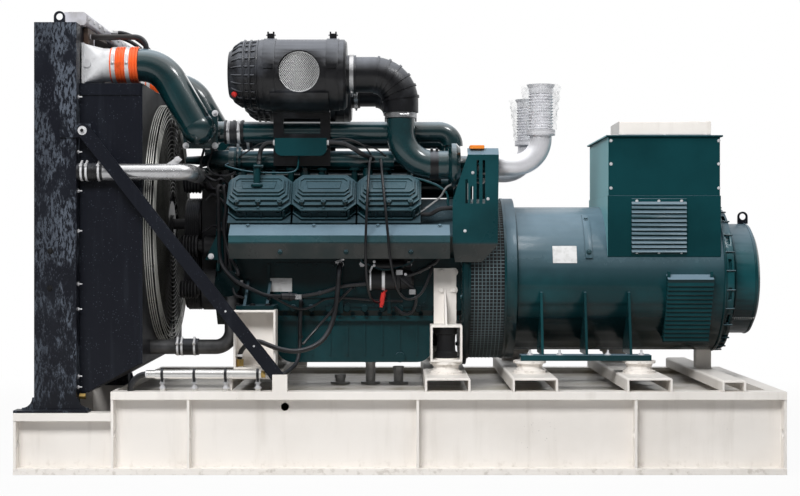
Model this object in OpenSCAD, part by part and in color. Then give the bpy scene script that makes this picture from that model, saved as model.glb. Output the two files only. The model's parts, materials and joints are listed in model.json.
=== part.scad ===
// Open diesel generating set on a stepped base frame: twin-bank engine, radiator and alternator.
// Millimetres. X runs from the radiator end to the alternator end, -Y is the service side, Z is up.
// The origin is on the floor, at the middle of the base frame.

/* [Base frame] */
// Length of the base frame
base_len = 4000; // [3900:1:4300]
// Width of the base frame over the flanges
base_w = 1600; // [1600:1:1700]
// Height of the main rails
rail_h = 430; // [410:1:470]
// Height of the lowered rails under the radiator
step_h = 320; // [300:1:350]
// Length of the lowered rails
step_len = 504; // [500:1:520]
// Depth of the rail's web behind the flange edge
web_inset = 70; // [50:1:75]
// Thickness of the rail's web
web_t = 14; // [10:1:16]
// Height of the rail's top flange
top_flange_t = 42; // [25:1:60]
// Height of the rail's bottom flange
bottom_flange_t = 32; // [20:1:50]
// Thickness of the web stiffeners and end plates
stiffener_t = 14; // [8:1:20]
// Places of the web stiffeners between the ends
stiffener_xs = [-1103, 85, 1214]; // [-1400:1:1900]
// Hole through each stiffener
stiffener_hole_d = 45; // [30:1:60]
// Flange width of the end beams
end_beam_w = 90; // [60:1:110]
// Height of the tank's roof plate
tank_top_z = 395; // [360:1:405]
// Thickness of the tank plates
tank_t = 12; // [8:1:16]
// Distance of the tank's rear wall from the rear end of the base
tank_setback = 140; // [110:1:200]
// Places of the fittings along the tank roof
fitting_xs = [-343, -169, -9]; // [-400:1:60]
// Diameter of a tank fitting's flange
fitting_d = 110; // [80:1:130]

/* [Cross channels and mounts] */
// Width of a cross channel
channel_w = 236; // [220:1:250]
// Height of a cross channel
channel_h = 70; // [60:1:80]
// Thickness of a cross channel
channel_t = 12; // [8:1:14]
// Middle of the channel under the front engine brackets
front_channel_x = -770; // [-790:1:-750]
// Middle of the channel under the rear engine brackets
engine_channel_x = 247; // [240:1:248]
// Middle of the channel under the alternator's front mounts
alt_front_channel_x = 700; // [690:1:720]
// Middle of the channel under the alternator's rear mounts
alt_rear_channel_x = 1292; // [1270:1:1300]
// Middle of the tail stand
tail_stand_x = 1728; // [1700:1:1740]
// Width of the tail stand's post
tail_post_w = 84; // [60:1:100]
// Diameter of a rubber mount
mount_d = 176; // [150:1:190]
// Height of the rear and alternator mounts
mount_h = 66; // [55:1:75]
// Height of the front mounts
front_mount_h = 28; // [20:1:40]

/* [Engine] */
// Height of the crankshaft axis
crank_z = 1000; // [980:1:1020]
// Front face of the crankcase
crankcase_x = -930; // [-940:1:-920]
// Length of the crankcase
crankcase_len = 1265; // [1260:1:1280]
// Half width of the crankcase skirt
skirt_y = 330; // [310:1:335]
// Bottom face of the crankcase
crankcase_z = 800; // [790:1:820]
// Lean of each cylinder bank from upright
bank_angle = 45; // [42:1:47]
// Deck radius of a bank from the crankshaft axis
deck_r = 480; // [470:1:490]
// Half width of a bank
bank_half = 150; // [140:1:155]
// Height of a cylinder head
head_h = 105; // [95:1:110]
// Length of a cylinder head and its cover
head_len = 340; // [320:1:345]
// Pitch of the heads
head_pitch = 349; // [347:1:352]
// Front face of the first head
head_x = -927; // [-930:1:-920]
// Height of a rocker cover
cover_h = 145; // [135:1:150]
// Corner cut of a rocker cover
cover_corner = 48; // [30:1:60]
// Bottom of the oil sump
sump_z = 541; // [535:1:570]
// Front of the deep part of the sump
sump_x = -683; // [-690:1:-600]
// Length of the deep part of the sump
sump_len = 865; // [800:1:865]
// Half width of the sump
sump_y = 262; // [240:1:280]
// Length of the timing cover ahead of the crankcase
front_cover_len = 80; // [60:1:90]
// Outer ridge of the exhaust shield
shield_y = 600; // [590:1:620]
// Length of the exhaust shield
shield_len = 1177; // [1100:1:1180]
// Radius of the flywheel housing
flywheel_r = 490; // [480:1:500]
// Length of the flywheel housing
flywheel_len = 35; // [30:1:38]
// Radius of the coupling guard
coupling_r = 450; // [440:1:455]

/* [Air, exhaust and coolant] */
// Distance of turbochargers, air cleaners and exhausts from the middle
turbo_y = 400; // [395:1:410]
// Height of the turbocharger axis
turbo_z = 1625; // [1610:1:1635]
// Radius of the compressor housing
compressor_r = 118; // [105:1:119]
// Radius of the turbine housing
turbine_r = 75; // [60:1:76]
// Height of the air cleaner axis
cleaner_z = 2116; // [2100:1:2130]
// Radius of an air cleaner
cleaner_r = 190; // [175:1:195]
// Front end of an air cleaner
cleaner_x = -925; // [-940:1:-910]
// Length of an air cleaner
cleaner_len = 636; // [620:1:650]
// Radius of the air cleaner's round inlet
inlet_r = 112; // [95:1:120]
// Radius of the rubber intake elbow
rubber_elbow_r = 96; // [85:1:100]
// Radius of the metal intake elbow
intake_r = 77; // [70:1:78]
// Where the intake drops to the turbocharger
intake_x = 4; // [0:1:10]
// Distance of the charge and coolant pipes from the middle
gallery_y = 250; // [240:1:255]
// Height of the charge air pipe
charge_z = 1815; // [1800:1:1825]
// Radius of the charge air pipe
charge_r = 58; // [50:1:60]
// Height of the coolant manifold
manifold_z = 1659; // [1650:1:1665]
// Radius of the coolant manifold
manifold_r = 52; // [45:1:55]
// Where the exhaust turns upright
exhaust_x = 766; // [755:1:775]
// Radius of the exhaust elbow
exhaust_r = 59; // [50:1:62]
// Radius of the exhaust bellows
bellows_r = 68; // [64:1:75]
// Height of the exhaust flange
exhaust_flange_z = 1800; // [1790:1:1820]
// Top of the exhaust outlet
exhaust_top_z = 2060; // [2030:1:2080]

/* [Radiator and fan] */
// Distance of the radiator from the front end of the base
rad_setback = 100; // [90:1:105]
// Depth of the radiator frame
rad_depth = 220; // [215:1:222]
// Top of the radiator frame
rad_top_z = 2346; // [2330:1:2360]
// Width of a radiator post
post_w = 90; // [80:1:95]
// Sheet thickness of the posts
post_t = 10; // [8:1:14]
// Length of a post's foot plate
foot_len = 386; // [360:1:386]
// Height of the header tank
header_h = 69; // [60:1:80]
// Half width of the fan shroud
shroud_y = 684; // [680:1:686]
// Rear face of the fan shroud
shroud_x = -1351; // [-1360:1:-1345]
// Top of the fan shroud
shroud_top_z = 2037; // [2015:1:2060]
// Sheet thickness of the shroud
shroud_t = 8; // [5:1:10]
// Radius of the opening in the shroud
shroud_hole_r = 640; // [630:1:650]
// Height of the fan axis
fan_z = 1310; // [1300:1:1320]
// Radius of the fan
fan_r = 600; // [580:1:610]
// Number of fan blades
fan_blades = 8; // [6:1:10]
// Pitch of the fan blades
fan_pitch = 35; // [25:1:40]
// Chord of a fan blade
fan_chord = 150; // [110:1:160]
// Radius of the fan hub
fan_hub_r = 130; // [115:1:150]
// Radius of the fan spindle
spindle_r = 30; // [25:1:35]
// Radius of the fan guard
guard_r = 676; // [665:1:680]
// Rear face of the fan guard
guard_x = -1302; // [-1310:1:-1290]
// Thickness of the guard's bars
guard_bar = 8; // [6:1:10]
// Radius of the fan pulley
fan_pulley_r = 130; // [110:1:140]
// Radius of the crankshaft pulley
crank_pulley_r = 160; // [140:1:165]
// Thickness of the fan belts
belt_t = 14; // [10:1:18]
// Width of a brace
brace_w = 70; // [60:1:80]
// Height of the pressed charge air pipe leaving the radiator
duct_z = 2150; // [2140:1:2155]
// Distance of that pipe from the middle
duct_y = 540; // [530:1:545]
// Radius of that pipe
duct_r = 88; // [75:1:92]
// Radius of the upper coolant pipe
upper_pipe_r = 43; // [38:1:44]
// Height of the upper coolant pipe
upper_pipe_z = 1569; // [1560:1:1580]
// Radius of the lower coolant pipe
lower_pipe_r = 40; // [34:1:41]
// Height of the lower coolant pipe
lower_pipe_z = 637; // [630:1:650]

/* [Alternator] */
// Front face of the alternator's adaptor ring
alternator_x = 580; // [578:1:585]
// Length of the adaptor ring
adaptor_len = 55; // [45:1:60]
// Radius of the adaptor ring
adaptor_r = 455; // [450:1:460]
// Radius of the alternator frame
alternator_r = 406; // [400:1:408]
// Length of the alternator frame
alternator_len = 1140; // [1130:1:1145]
// Length of the end ring
end_ring_len = 45; // [35:1:50]
// Radius of the end ring
end_ring_r = 400; // [390:1:404]
// Length of the end bell
end_bell_len = 172; // [150:1:175]
// Radius of the end bell
end_bell_r = 311; // [290:1:320]
// Half distance between the alternator's foot rails
foot_y = 450; // [445:1:455]
// Thickness of a foot rail
foot_rail_t = 31; // [25:1:35]
// Front end of the foot rails
foot_rail_x = 649; // [645:1:655]
// Length of the foot rails
foot_rail_len = 703; // [690:1:710]
// Places of the foot gussets
gusset_xs = [768, 1006, 1244]; // [700:1:1330]
// Front face of the terminal box
box_x = 1131; // [1120:1:1140]
// Length of the terminal box
box_len = 618; // [600:1:625]
// Half width of the terminal box
box_y = 390; // [380:1:395]
// Height of the terminal box's split line
box_split_z = 1459; // [1440:1:1480]
// Top of the terminal box
box_top_z = 1780; // [1760:1:1800]
// Height of the small box on the lid
top_box_h = 77; // [60:1:90]
// Number of louvres on a terminal box panel
louvre_count = 12; // [8:1:14]

/* [Hidden] */
$fn = 128;

cream = [0.93, 0.91, 0.87];
engine_green = [0.05, 0.22, 0.22];
navy = [0.09, 0.10, 0.14];
black = [0.06, 0.06, 0.07];
steel = [0.75, 0.76, 0.78];

// Overlap of two pieces that are fused into one solid
fuse = 2;
// Gap left where a curved or slanted seat meets its neighbour
seat = 0.3;
// Radial running clearance of the fan on its spindle
run_clearance = 0.05;

x_front = -2000;
x_rear = x_front + base_len;
y_out = base_w / 2;
rail_in = y_out - web_inset - web_t;
step_x = x_front + step_len;
deck_z = rail_h + channel_h;
foot_z = deck_z + mount_h;

brace_t = 12;
brace_y = y_out - brace_t;
post_y = brace_y - 2 * brace_t;
core_y = post_y - post_w;
rad_x = x_front + rad_setback;
rad_rear_x = rad_x + rad_depth;
tank_band = 146;
core_z = step_h + 240;
foot_t = 13;

crank_rear_x = crankcase_x + crankcase_len;
head_r = deck_r + head_h;
flywheel_rear_x = crank_rear_x + flywheel_len;
frame_x = alternator_x + adaptor_len;
frame_rear_x = frame_x + alternator_len;
bell_x = frame_rear_x + end_ring_len;
bell_rear_x = bell_x + end_bell_len;

module both_sides() {
    children();
    mirror([0, 1, 0]) children();
}

// A profile drawn in Y and Z, carried along X
module along_x(x, len) translate([x, 0, 0]) rotate([90, 0, 90]) linear_extrude(len) children();

// A profile drawn in X and Z, carried along Y
module along_y(y, len) translate([0, y + len, 0]) rotate([90, 0, 0]) linear_extrude(len) children();

module rod_x(x, y, z, r, len) translate([x, y, z]) rotate([0, 90, 0]) cylinder(r = r, h = len);
module rod_y(x, y, z, r, len) translate([x, y + len, z]) rotate([90, 0, 0]) cylinder(r = r, h = len);
module rod_z(x, y, z, r, len) translate([x, y, z]) cylinder(r = r, h = len);

// A profile of radius and length, turned about an axis along X or along Z
module turned_x(x, y, z) translate([x, y, z]) rotate([0, 90, 0]) rotate_extrude() children();
module turned_z(x, y, z) translate([x, y, z]) rotate_extrude() children();

// A bend in the X-Z plane that starts at a point heading along +X and turns down by the angle
module bend_down(x, y, z, bend_r, r, angle)
    translate([x, y, z - bend_r]) rotate([90, 0, 0]) rotate([0, 0, 90 - angle])
        rotate_extrude(angle = angle) translate([bend_r, 0]) circle(r = r);

// A rectangle with rounded corners, centred
module rounded(w, h, r) {
    square([w, h - 2 * r], center = true);
    square([w - 2 * r, h], center = true);
    for (sx = [-1, 1], sy = [-1, 1]) translate([sx * (w / 2 - r), sy * (h / 2 - r)]) circle(r = r);
}

// Channel that opens towards the drawing's left
module channel_outline(depth, h) polygon([
    [0, 0], [depth, 0], [depth, h], [0, h], [0, h - top_flange_t], [depth - web_t, h - top_flange_t],
    [depth - web_t, bottom_flange_t], [0, bottom_flange_t]
]);

stiffener_setback = 4;
web_hole_d = 42;
web_hole_x = -600;
web_hole_z = rail_h - 85;
brace_foot_x = -660;
brace_foot_w = 78;
brace_foot_h = 88;
brace_foot_depth = 60;

module rail_plate(x, h) difference() {
    translate([x, -y_out + stiffener_setback, bottom_flange_t - fuse])
        cube([stiffener_t, web_inset - stiffener_setback + fuse,
            h - top_flange_t - bottom_flange_t + 2 * fuse]);
    rod_x(x - fuse, -y_out + web_inset / 2, (h - top_flange_t + bottom_flange_t) / 2,
        stiffener_hole_d / 2, stiffener_t + 2 * fuse);
}

// Angle that holds the lower end of a radiator brace
module brace_foot() {
    translate([brace_foot_x, -y_out, rail_h - fuse])
        cube([brace_foot_w, brace_t, brace_foot_h + fuse]);
    translate([brace_foot_x, -y_out, rail_h - fuse])
        cube([brace_foot_w, brace_foot_depth, brace_t + fuse]);
}

module near_side_rail() color(cream) {
    difference() {
        union() {
            along_x(x_front, step_len + fuse) translate([-y_out, 0])
                channel_outline(web_inset + web_t, step_h);
            along_x(step_x, base_len - step_len) translate([-y_out, 0])
                channel_outline(web_inset + web_t, rail_h);
        }
        rod_y(web_hole_x, -y_out + web_inset - fuse, web_hole_z, web_hole_d / 2, web_t + 2 * fuse);
    }
    rail_plate(x_front, step_h);
    rail_plate(step_x, rail_h);
    for (x = stiffener_xs) rail_plate(x, rail_h);
    rail_plate(x_rear - stiffener_t, rail_h);
    brace_foot();
}

module far_side_rail() mirror([0, 1, 0]) near_side_rail();

// Front beam, bulkhead at the step and rear beam, between the rails
module cross_members() color(cream) {
    along_y(-rail_in, 2 * rail_in) translate([x_front, 0]) channel_outline(end_beam_w, step_h);
    translate([step_x, -rail_in, 0]) cube([web_t, 2 * rail_in, rail_h]);
    along_y(-rail_in, 2 * rail_in) translate([x_rear, 0]) mirror([1, 0])
        channel_outline(end_beam_w, rail_h);
}

tank_x = step_x + web_t;
tank_rear_x = x_rear - tank_setback;
tank_len = tank_rear_x - tank_x;

// Floor and rear wall of the tank, whose sides are the rails
module fuel_tank() color(cream) {
    translate([tank_x, -rail_in, bottom_flange_t - tank_t]) cube([tank_len, 2 * rail_in, tank_t]);
    translate([tank_rear_x - tank_t, -rail_in, bottom_flange_t - fuse])
        cube([tank_t, 2 * rail_in, tank_top_z - tank_t - bottom_flange_t + fuse]);
}

tank_lip = 18;
module tank_roof() color(steel) {
    translate([tank_x, -rail_in, tank_top_z - tank_t]) cube([tank_len, 2 * rail_in, tank_t]);
    both_sides() translate([tank_x, -rail_in, tank_top_z - fuse])
        cube([tank_len, tank_t / 2, tank_lip + fuse]);
}

fitting_y = 40;
fitting_necks = [22, 110, 70];

// Flanged fitting with a neck and a six-sided cap
module tank_fitting(x, neck_h) {
    rod_z(x, fitting_y, tank_top_z, fitting_d / 2, 12);
    rod_z(x, fitting_y, tank_top_z, fitting_d / 4, 12 + neck_h);
    translate([x, fitting_y, tank_top_z + 12 + neck_h - fuse])
        cylinder(r = fitting_d / 3.4, h = 18 + fuse, $fn = 6);
}

module tank_fittings() color(steel)
    for (i = [0 : len(fitting_xs) - 1]) tank_fitting(fitting_xs[i], fitting_necks[i]);

// Inverted channel with rounded shoulders
module deck_channel(x, w, h, half = y_out) along_y(-half, 2 * half) translate([x, rail_h]) difference() {
    union() {
        translate([0, h / 2]) rounded(w, h, channel_t);
        translate([-w / 2, 0]) square([w, h / 2]);
    }
    translate([-w / 2 + channel_t, -fuse]) square([w - 2 * channel_t, h - channel_t + fuse]);
}

front_channel_rest = 10;
tail_channel_w = 124;
tail_channel_h = 58;

// Small channel with a post saddled under the alternator's tail
module tail_stand() {
    deck_channel(tail_stand_x, tail_channel_w, tail_channel_h);
    difference() {
        translate([tail_stand_x - tail_post_w / 2, -tail_post_w / 2, rail_h + tail_channel_h - fuse])
            cube([tail_post_w, tail_post_w, crank_z - alternator_r - rail_h]);
        rod_x(frame_x, 0, crank_z, alternator_r + seat, alternator_len);
    }
}

module cross_channels() color(cream) {
    for (x = [engine_channel_x, alt_front_channel_x, alt_rear_channel_x])
        deck_channel(x, channel_w, channel_h);
    deck_channel(front_channel_x, channel_w, channel_h, rail_in + front_channel_rest);
    tail_stand();
}

front_bracket_y = 550;
rear_bracket_y = 500;
bracket_t = 12;
front_bracket_w = 223;
front_bracket_depth = 140;
front_bracket_top_z = 844;
rear_box_w = 170;
rear_box_h = 196;

// Rubber mount, waisted between two plates
module rubber_mount(x, y, z, d, h) turned_z(x, y, z) polygon([
    [0, 0], [d / 2, 0], [d / 2, h * 0.2], [d * 0.42, h * 0.25], [d * 0.38, h * 0.5],
    [d * 0.42, h * 0.75], [d / 2, h * 0.8], [d / 2, h], [0, h]
]);

module rubber_mounts() color(black) both_sides() {
    rubber_mount(front_channel_x, -front_bracket_y, deck_z, 0.7 * mount_d, front_mount_h);
    rubber_mount(engine_channel_x, -rear_bracket_y, deck_z, mount_d, mount_h);
    rubber_mount(engine_channel_x, -rear_bracket_y, foot_z + bracket_t, 0.7 * mount_d,
        rear_box_h - 2 * bracket_t);
    rubber_mount(alt_front_channel_x, -foot_y, deck_z, mount_d, mount_h);
    rubber_mount(alt_rear_channel_x, -foot_y, deck_z, mount_d, mount_h);
}

// Folded box, open towards the side of the set
module front_bracket()
    translate([front_channel_x - front_bracket_w / 2, -front_bracket_y - front_bracket_depth / 2,
        deck_z + front_mount_h]) {
        bracket_h = front_bracket_top_z - deck_z - front_mount_h;
        difference() {
            cube([front_bracket_w, front_bracket_depth, bracket_h]);
            translate([bracket_t, -fuse, bracket_t])
                cube([front_bracket_w - 2 * bracket_t, front_bracket_depth - bracket_t + fuse,
                    bracket_h - 2 * bracket_t]);
        }
    }

rear_plate_w = 124;
rear_plate_top_z = 1063;
rear_gusset_top_z = rear_plate_top_z - 125;
rear_plate_t = 16;

// Square box on its mount, with an arm, a web and a plate bolted to the crankcase
module rear_bracket() {
    box_top = foot_z + rear_box_h;
    along_y(-rear_bracket_y - rear_box_w / 2, rear_box_w)
        translate([engine_channel_x, foot_z + rear_box_h / 2]) difference() {
            square([rear_box_w, rear_box_h], center = true);
            square([rear_box_w - 2 * bracket_t, rear_box_h - 2 * bracket_t], center = true);
        }
    translate([engine_channel_x - rear_plate_w / 2, -rear_bracket_y, box_top - bracket_t])
        cube([rear_plate_w, rear_bracket_y - skirt_y, bracket_t]);
    translate([engine_channel_x - rear_plate_w / 2, -skirt_y - rear_plate_t, box_top - bracket_t])
        cube([rear_plate_w, rear_plate_t, rear_plate_top_z - box_top + bracket_t]);
    along_x(engine_channel_x - bracket_t / 2, bracket_t) polygon([
        [-skirt_y - fuse, box_top - fuse], [-rear_bracket_y - rear_box_w / 3, box_top - fuse],
        [-skirt_y - rear_plate_t, rear_gusset_top_z], [-skirt_y - fuse, rear_gusset_top_z]
    ]);
}

module engine_brackets() color(cream) both_sides() {
    front_bracket();
    rear_bracket();
}

gusset_r = x_front + foot_len - rad_rear_x - fuse;
post_eye_x = rad_x + 131;

// Folded post with its foot plate, curved gussets, cap and the tab for the brace
module near_radiator_post() color(navy) {
    translate([0, 0, step_h]) linear_extrude(rad_top_z - step_h) difference() {
        translate([rad_x, -post_y]) square([rad_depth, post_w]);
        translate([rad_x + post_t, -post_y + post_t]) square([rad_depth - 2 * post_t, post_w]);
    }
    translate([rad_x, -post_y, rad_top_z - post_t]) cube([rad_depth, post_w, post_t]);
    translate([x_front, -y_out, step_h]) cube([foot_len, y_out - rail_in, foot_t]);
    for (side = [0, 1])
        along_y(-post_y, post_t) translate([side ? rad_rear_x : rad_x, step_h + foot_t])
            mirror([side, 0]) difference() {
                translate([-gusset_r, -fuse]) square([gusset_r + fuse, gusset_r + fuse]);
                translate([-gusset_r, gusset_r]) circle(r = gusset_r - 10);
            }
    translate([brace_top_x - brace_tab, -post_y - brace_t, brace_top_z - brace_w / 2])
        cube([brace_tab + brace_w / 2, brace_t + fuse, brace_w]);
}

module far_radiator_post() mirror([0, 1, 0]) near_radiator_post();

brace_tab = 125;
brace_top_x = rad_rear_x + 41;
brace_top_z = 1782;
brace_end_x = brace_foot_x + 0.5 * brace_foot_w;
brace_end_z = rail_h + 59;
brace_len = norm([brace_end_x - brace_top_x, brace_end_z - brace_top_z]);
brace_angle = atan2(brace_top_z - brace_end_z, brace_end_x - brace_top_x);

// Flat bar with rounded ends, from the post's tab down to the angle on the rail
module radiator_braces() color(navy) both_sides()
    along_y(-brace_y, brace_t) translate([brace_top_x, brace_top_z]) rotate(-brace_angle) {
        translate([0, -brace_w / 2]) square([brace_len, brace_w]);
        circle(d = brace_w);
        translate([brace_len, 0]) circle(d = brace_w * 0.8);
    }

core_rows = 36;
core_face = 12;
core_top_z = rad_top_z - tank_band;

// Tube and fin block: rows of tubes stand proud of the fin plates on both faces
module radiator_core() color(black) along_y(-core_y, 2 * core_y) {
    pitch = (core_top_z - core_z) / core_rows;
    translate([rad_x + 2 * core_face, core_z])
        square([rad_depth - 4 * core_face, core_top_z - core_z]);
    for (i = [0 : core_rows - 1])
        translate([rad_x + core_face, core_z + (i + 0.25) * pitch])
            square([rad_depth - 2 * core_face, pitch / 2]);
}

// Top and bottom tanks
module radiator_tanks() color(navy) along_y(-core_y, 2 * core_y) {
    translate([rad_x + rad_depth / 2, rad_top_z - tank_band / 2]) rounded(rad_depth, tank_band, 18);
    translate([rad_x + rad_depth / 2, core_z - tank_band / 2]) rounded(rad_depth, tank_band, 18);
}

header_setback = 124;
header_inset = 104;
header_x = rad_x + header_setback;
header_w = 126;
header_y = post_y - header_inset;

// Expansion tank on top of the radiator, with its filler cap and the vent stub below it
module header_tank() color(steel) {
    along_y(-header_y, 2 * header_y)
        translate([header_x + header_w / 2, rad_top_z + header_h / 2]) rounded(header_w, header_h, 20);
    rod_x(rad_rear_x, -vent_y, vent_z, vent_r, vent_x - rad_rear_x);
}

eye_hole_r = 18;
eye_r = 29;
eye_t = 18;
eye_lift = eye_r;
tail_eye_x = bell_rear_x - 34;

module lifting_eye(x, y, z, sink) along_y(y, eye_t) translate([x, z]) difference() {
    union() {
        translate([0, eye_lift]) circle(r = eye_r);
        translate([-eye_r, -sink]) square([2 * eye_r, eye_lift + sink]);
    }
    translate([0, eye_lift]) circle(r = eye_hole_r);
}

// One eye on each radiator post and one on the alternator's end bell
module lifting_eyes() color(navy) {
    both_sides() lifting_eye(post_eye_x, -post_y, rad_top_z, 0);
    difference() {
        lifting_eye(tail_eye_x, -eye_t / 2, crank_z + end_bell_r + 12, 24);
        rod_x(bell_x, 0, crank_z, end_bell_r + seat, end_bell_len);
    }
}

shroud_low_z = 394;
shroud_rise = 173;
shroud_lip = 62;
shroud_lip_t = 8;

module shroud_side(inset) polygon([
    [rad_rear_x - (inset ? fuse : 0), shroud_low_z + 1.2 * inset],
    [shroud_x - shroud_t + (inset ? fuse : 0), shroud_low_z + shroud_rise + 1.2 * inset],
    [shroud_x - shroud_t + (inset ? fuse : 0), shroud_top_z - inset],
    [rad_rear_x - (inset ? fuse : 0), shroud_top_z - inset]
]);

// Sheet duct from the core to the fan, with a slanted floor and a lip along each top edge
module fan_shroud() color(navy) {
    difference() {
        along_y(-shroud_y, 2 * shroud_y) shroud_side(0);
        along_y(-shroud_y + shroud_t, 2 * (shroud_y - shroud_t)) shroud_side(shroud_t);
    }
    both_sides() translate([rad_rear_x, -shroud_y - shroud_lip_t, shroud_top_z - shroud_lip])
        cube([shroud_x - shroud_t - rad_rear_x, shroud_lip_t + fuse, shroud_lip]);
}

module shroud_face() color(navy) difference() {
    translate([shroud_x - shroud_t, -shroud_y, shroud_low_z + shroud_rise])
        cube([shroud_t, 2 * shroud_y, shroud_top_z - shroud_low_z - shroud_rise]);
    rod_x(shroud_x - shroud_t - fuse, 0, fan_z, shroud_hole_r, shroud_t + 2 * fuse);
}

guard_bars = 18;
guard_rings = 6;
guard_len = guard_x - shroud_x;
guard_eye_r = 190;

module guard_ring(x, r) difference() {
    rod_x(x, 0, fan_z, r, guard_bar);
    rod_x(x - fuse, 0, fan_z, r - guard_bar, guard_bar + 2 * fuse);
}

module round_the_fan(count)
    for (i = [0 : count - 1]) translate([0, 0, fan_z]) rotate([360 * (i + 0.5) / count, 0, 0]) children();

// Cage of rings and bars round the fan, seated on the shroud's face
module guard_drum() color(steel) {
    for (i = [0 : guard_rings - 1])
        guard_ring(shroud_x + i * (guard_len - guard_bar) / (guard_rings - 1), guard_r);
    round_the_fan(guard_bars) translate([shroud_x, -guard_bar / 2, guard_r - guard_bar * 0.8])
        cube([guard_len, guard_bar, guard_bar * 0.6]);
}

// Flat end of the cage, open in the middle for the drive
module guard_face() color(steel) {
    for (i = [0 : guard_rings - 1])
        guard_ring(guard_x, guard_eye_r + i * (guard_r - guard_eye_r) / (guard_rings - 1));
    round_the_fan(guard_bars) translate([guard_x + guard_bar * 0.2, -guard_bar / 2, guard_eye_r - guard_bar])
        cube([guard_bar * 0.6, guard_bar, guard_r - guard_eye_r + guard_bar / 2]);
}

fan_setback = 60;
fan_x = guard_x - fan_setback;
fan_hub_len = 120;
blade_t = 5;
blade_arc_r = 1.5 * fan_chord;

// Section of a blade: a thin arc over its chord
module blade_section() translate([0, -blade_arc_r]) intersection() {
    difference() {
        circle(r = blade_arc_r);
        circle(r = blade_arc_r - blade_t);
    }
    translate([-fan_chord / 2, 0]) square([fan_chord, blade_arc_r + fuse]);
}

// Cambered blades round a hub that runs on the fixed spindle
module fan() color(black) difference() {
    union() {
        rod_x(fan_x - fan_hub_len / 2, 0, fan_z, fan_hub_r, fan_hub_len);
        round_the_fan(fan_blades) translate([fan_x, 0, fan_hub_r - 3 * blade_t]) rotate([0, 0, 90])
            linear_extrude(fan_r - fan_hub_r + 3 * blade_t) rotate(fan_pitch) blade_section();
    }
    rod_x(fan_x - fan_hub_len, 0, fan_z, spindle_r + run_clearance, 2 * fan_hub_len);
}

cover_x = crankcase_x - front_cover_len;
pulley_w = 92;
pulley_x = cover_x - 110 - pulley_w;
pulley_rim = 8;
collar_r = spindle_r + 22;
collar_gap = 3;

module pulley(z, r) turned_x(pulley_x, 0, z) polygon([
    [0, 0], [r + pulley_rim, 0], [r + pulley_rim, pulley_rim], [r, pulley_rim],
    [r, pulley_w - pulley_rim], [r + pulley_rim, pulley_w - pulley_rim], [r + pulley_rim, pulley_w],
    [0.55 * r, pulley_w], [0.55 * r, cover_x - pulley_x], [0, cover_x - pulley_x]
]);

// Fan spindle with its collars and pulley, and the crankshaft pulley below it
module fan_drive() color(black) {
    rod_x(fan_x - fan_hub_len / 2 - 4 * collar_gap, 0, fan_z, spindle_r,
        pulley_x - fan_x + fan_hub_len / 2 + 4 * collar_gap + fuse);
    rod_x(fan_x - fan_hub_len / 2 - 4 * collar_gap, 0, fan_z, collar_r, 3 * collar_gap);
    rod_x(fan_x + fan_hub_len / 2 + collar_gap, 0, fan_z, collar_r, 3 * collar_gap);
    pulley(fan_z, fan_pulley_r);
    pulley(crank_z, crank_pulley_r);
}

belt_lean = asin((crank_pulley_r - fan_pulley_r) / (fan_z - crank_z));

// Outline round both pulleys at a distance from their grooves
module belt_outline(gap) {
    low = crank_pulley_r + gap;
    high = fan_pulley_r + gap;
    translate([0, crank_z]) circle(r = low);
    translate([0, fan_z]) circle(r = high);
    polygon([
        [-low * cos(belt_lean), crank_z + low * sin(belt_lean)],
        [low * cos(belt_lean), crank_z + low * sin(belt_lean)],
        [high * cos(belt_lean), fan_z + high * sin(belt_lean)],
        [-high * cos(belt_lean), fan_z + high * sin(belt_lean)]
    ]);
}

module fan_belts() color(black)
    along_x(pulley_x + pulley_rim + 1, pulley_w - 2 * pulley_rim - 2) difference() {
        belt_outline(seat + belt_t);
        belt_outline(seat);
    }

duct_flange_t = 12;
duct_flange_w = 200;
duct_flange_low_z = shroud_top_z + 6;
duct_end_x = rad_rear_x + 143;
hose_x = duct_end_x + 145;
vent_y = duct_y;
vent_z = rad_top_z - 46;
vent_bend_r = 60;
vent_x = hose_x + 35 - vent_bend_r;
vent_r = 15;
elbow_x = -1080;
elbow_turn = 60;
elbow_bend_r = 180;
elbow_corner_x = elbow_x - (duct_z - charge_z) / tan(elbow_turn);
elbow_start_x = elbow_corner_x - elbow_bend_r * tan(elbow_turn / 2);
elbow_run = (duct_z - charge_z) / sin(elbow_turn) - elbow_bend_r * tan(elbow_turn / 2);
elbow_lap = 10;
elbow_step = 1;
elbow_flange_y = duct_y - 100;
elbow_flange_w = 186;
elbow_flange_h = 206;
elbow_flange_t = 20;
elbow_case_r = duct_r + 4;
gallery_hose_len = 123;
charge_x = elbow_x + elbow_case_r + gallery_hose_len;

// Cast duct that narrows from the cooler's flange to a round mouth
module charge_air_ducts() color(steel) both_sides() {
    flange_h = 2 * (duct_z - duct_flange_low_z);
    translate([rad_rear_x, -duct_y - duct_flange_w / 2, duct_flange_low_z])
        cube([duct_flange_t, duct_flange_w, flange_h]);
    hull() {
        translate([rad_rear_x + duct_flange_t - 1, -duct_y - duct_flange_w / 2 + 12, duct_flange_low_z + 4])
            cube([1, duct_flange_w - 24, flange_h - 8]);
        rod_x(duct_end_x - 40, -duct_y, duct_z, duct_r, 1, $fn = 32);
    }
    rod_x(duct_end_x - 41, -duct_y, duct_z, duct_r, 41);
}

module charge_air_hoses() color([0.85, 0.35, 0.12]) both_sides()
    rod_x(duct_end_x, -duct_y, duct_z, duct_r + 5, hose_x - duct_end_x);

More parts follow.
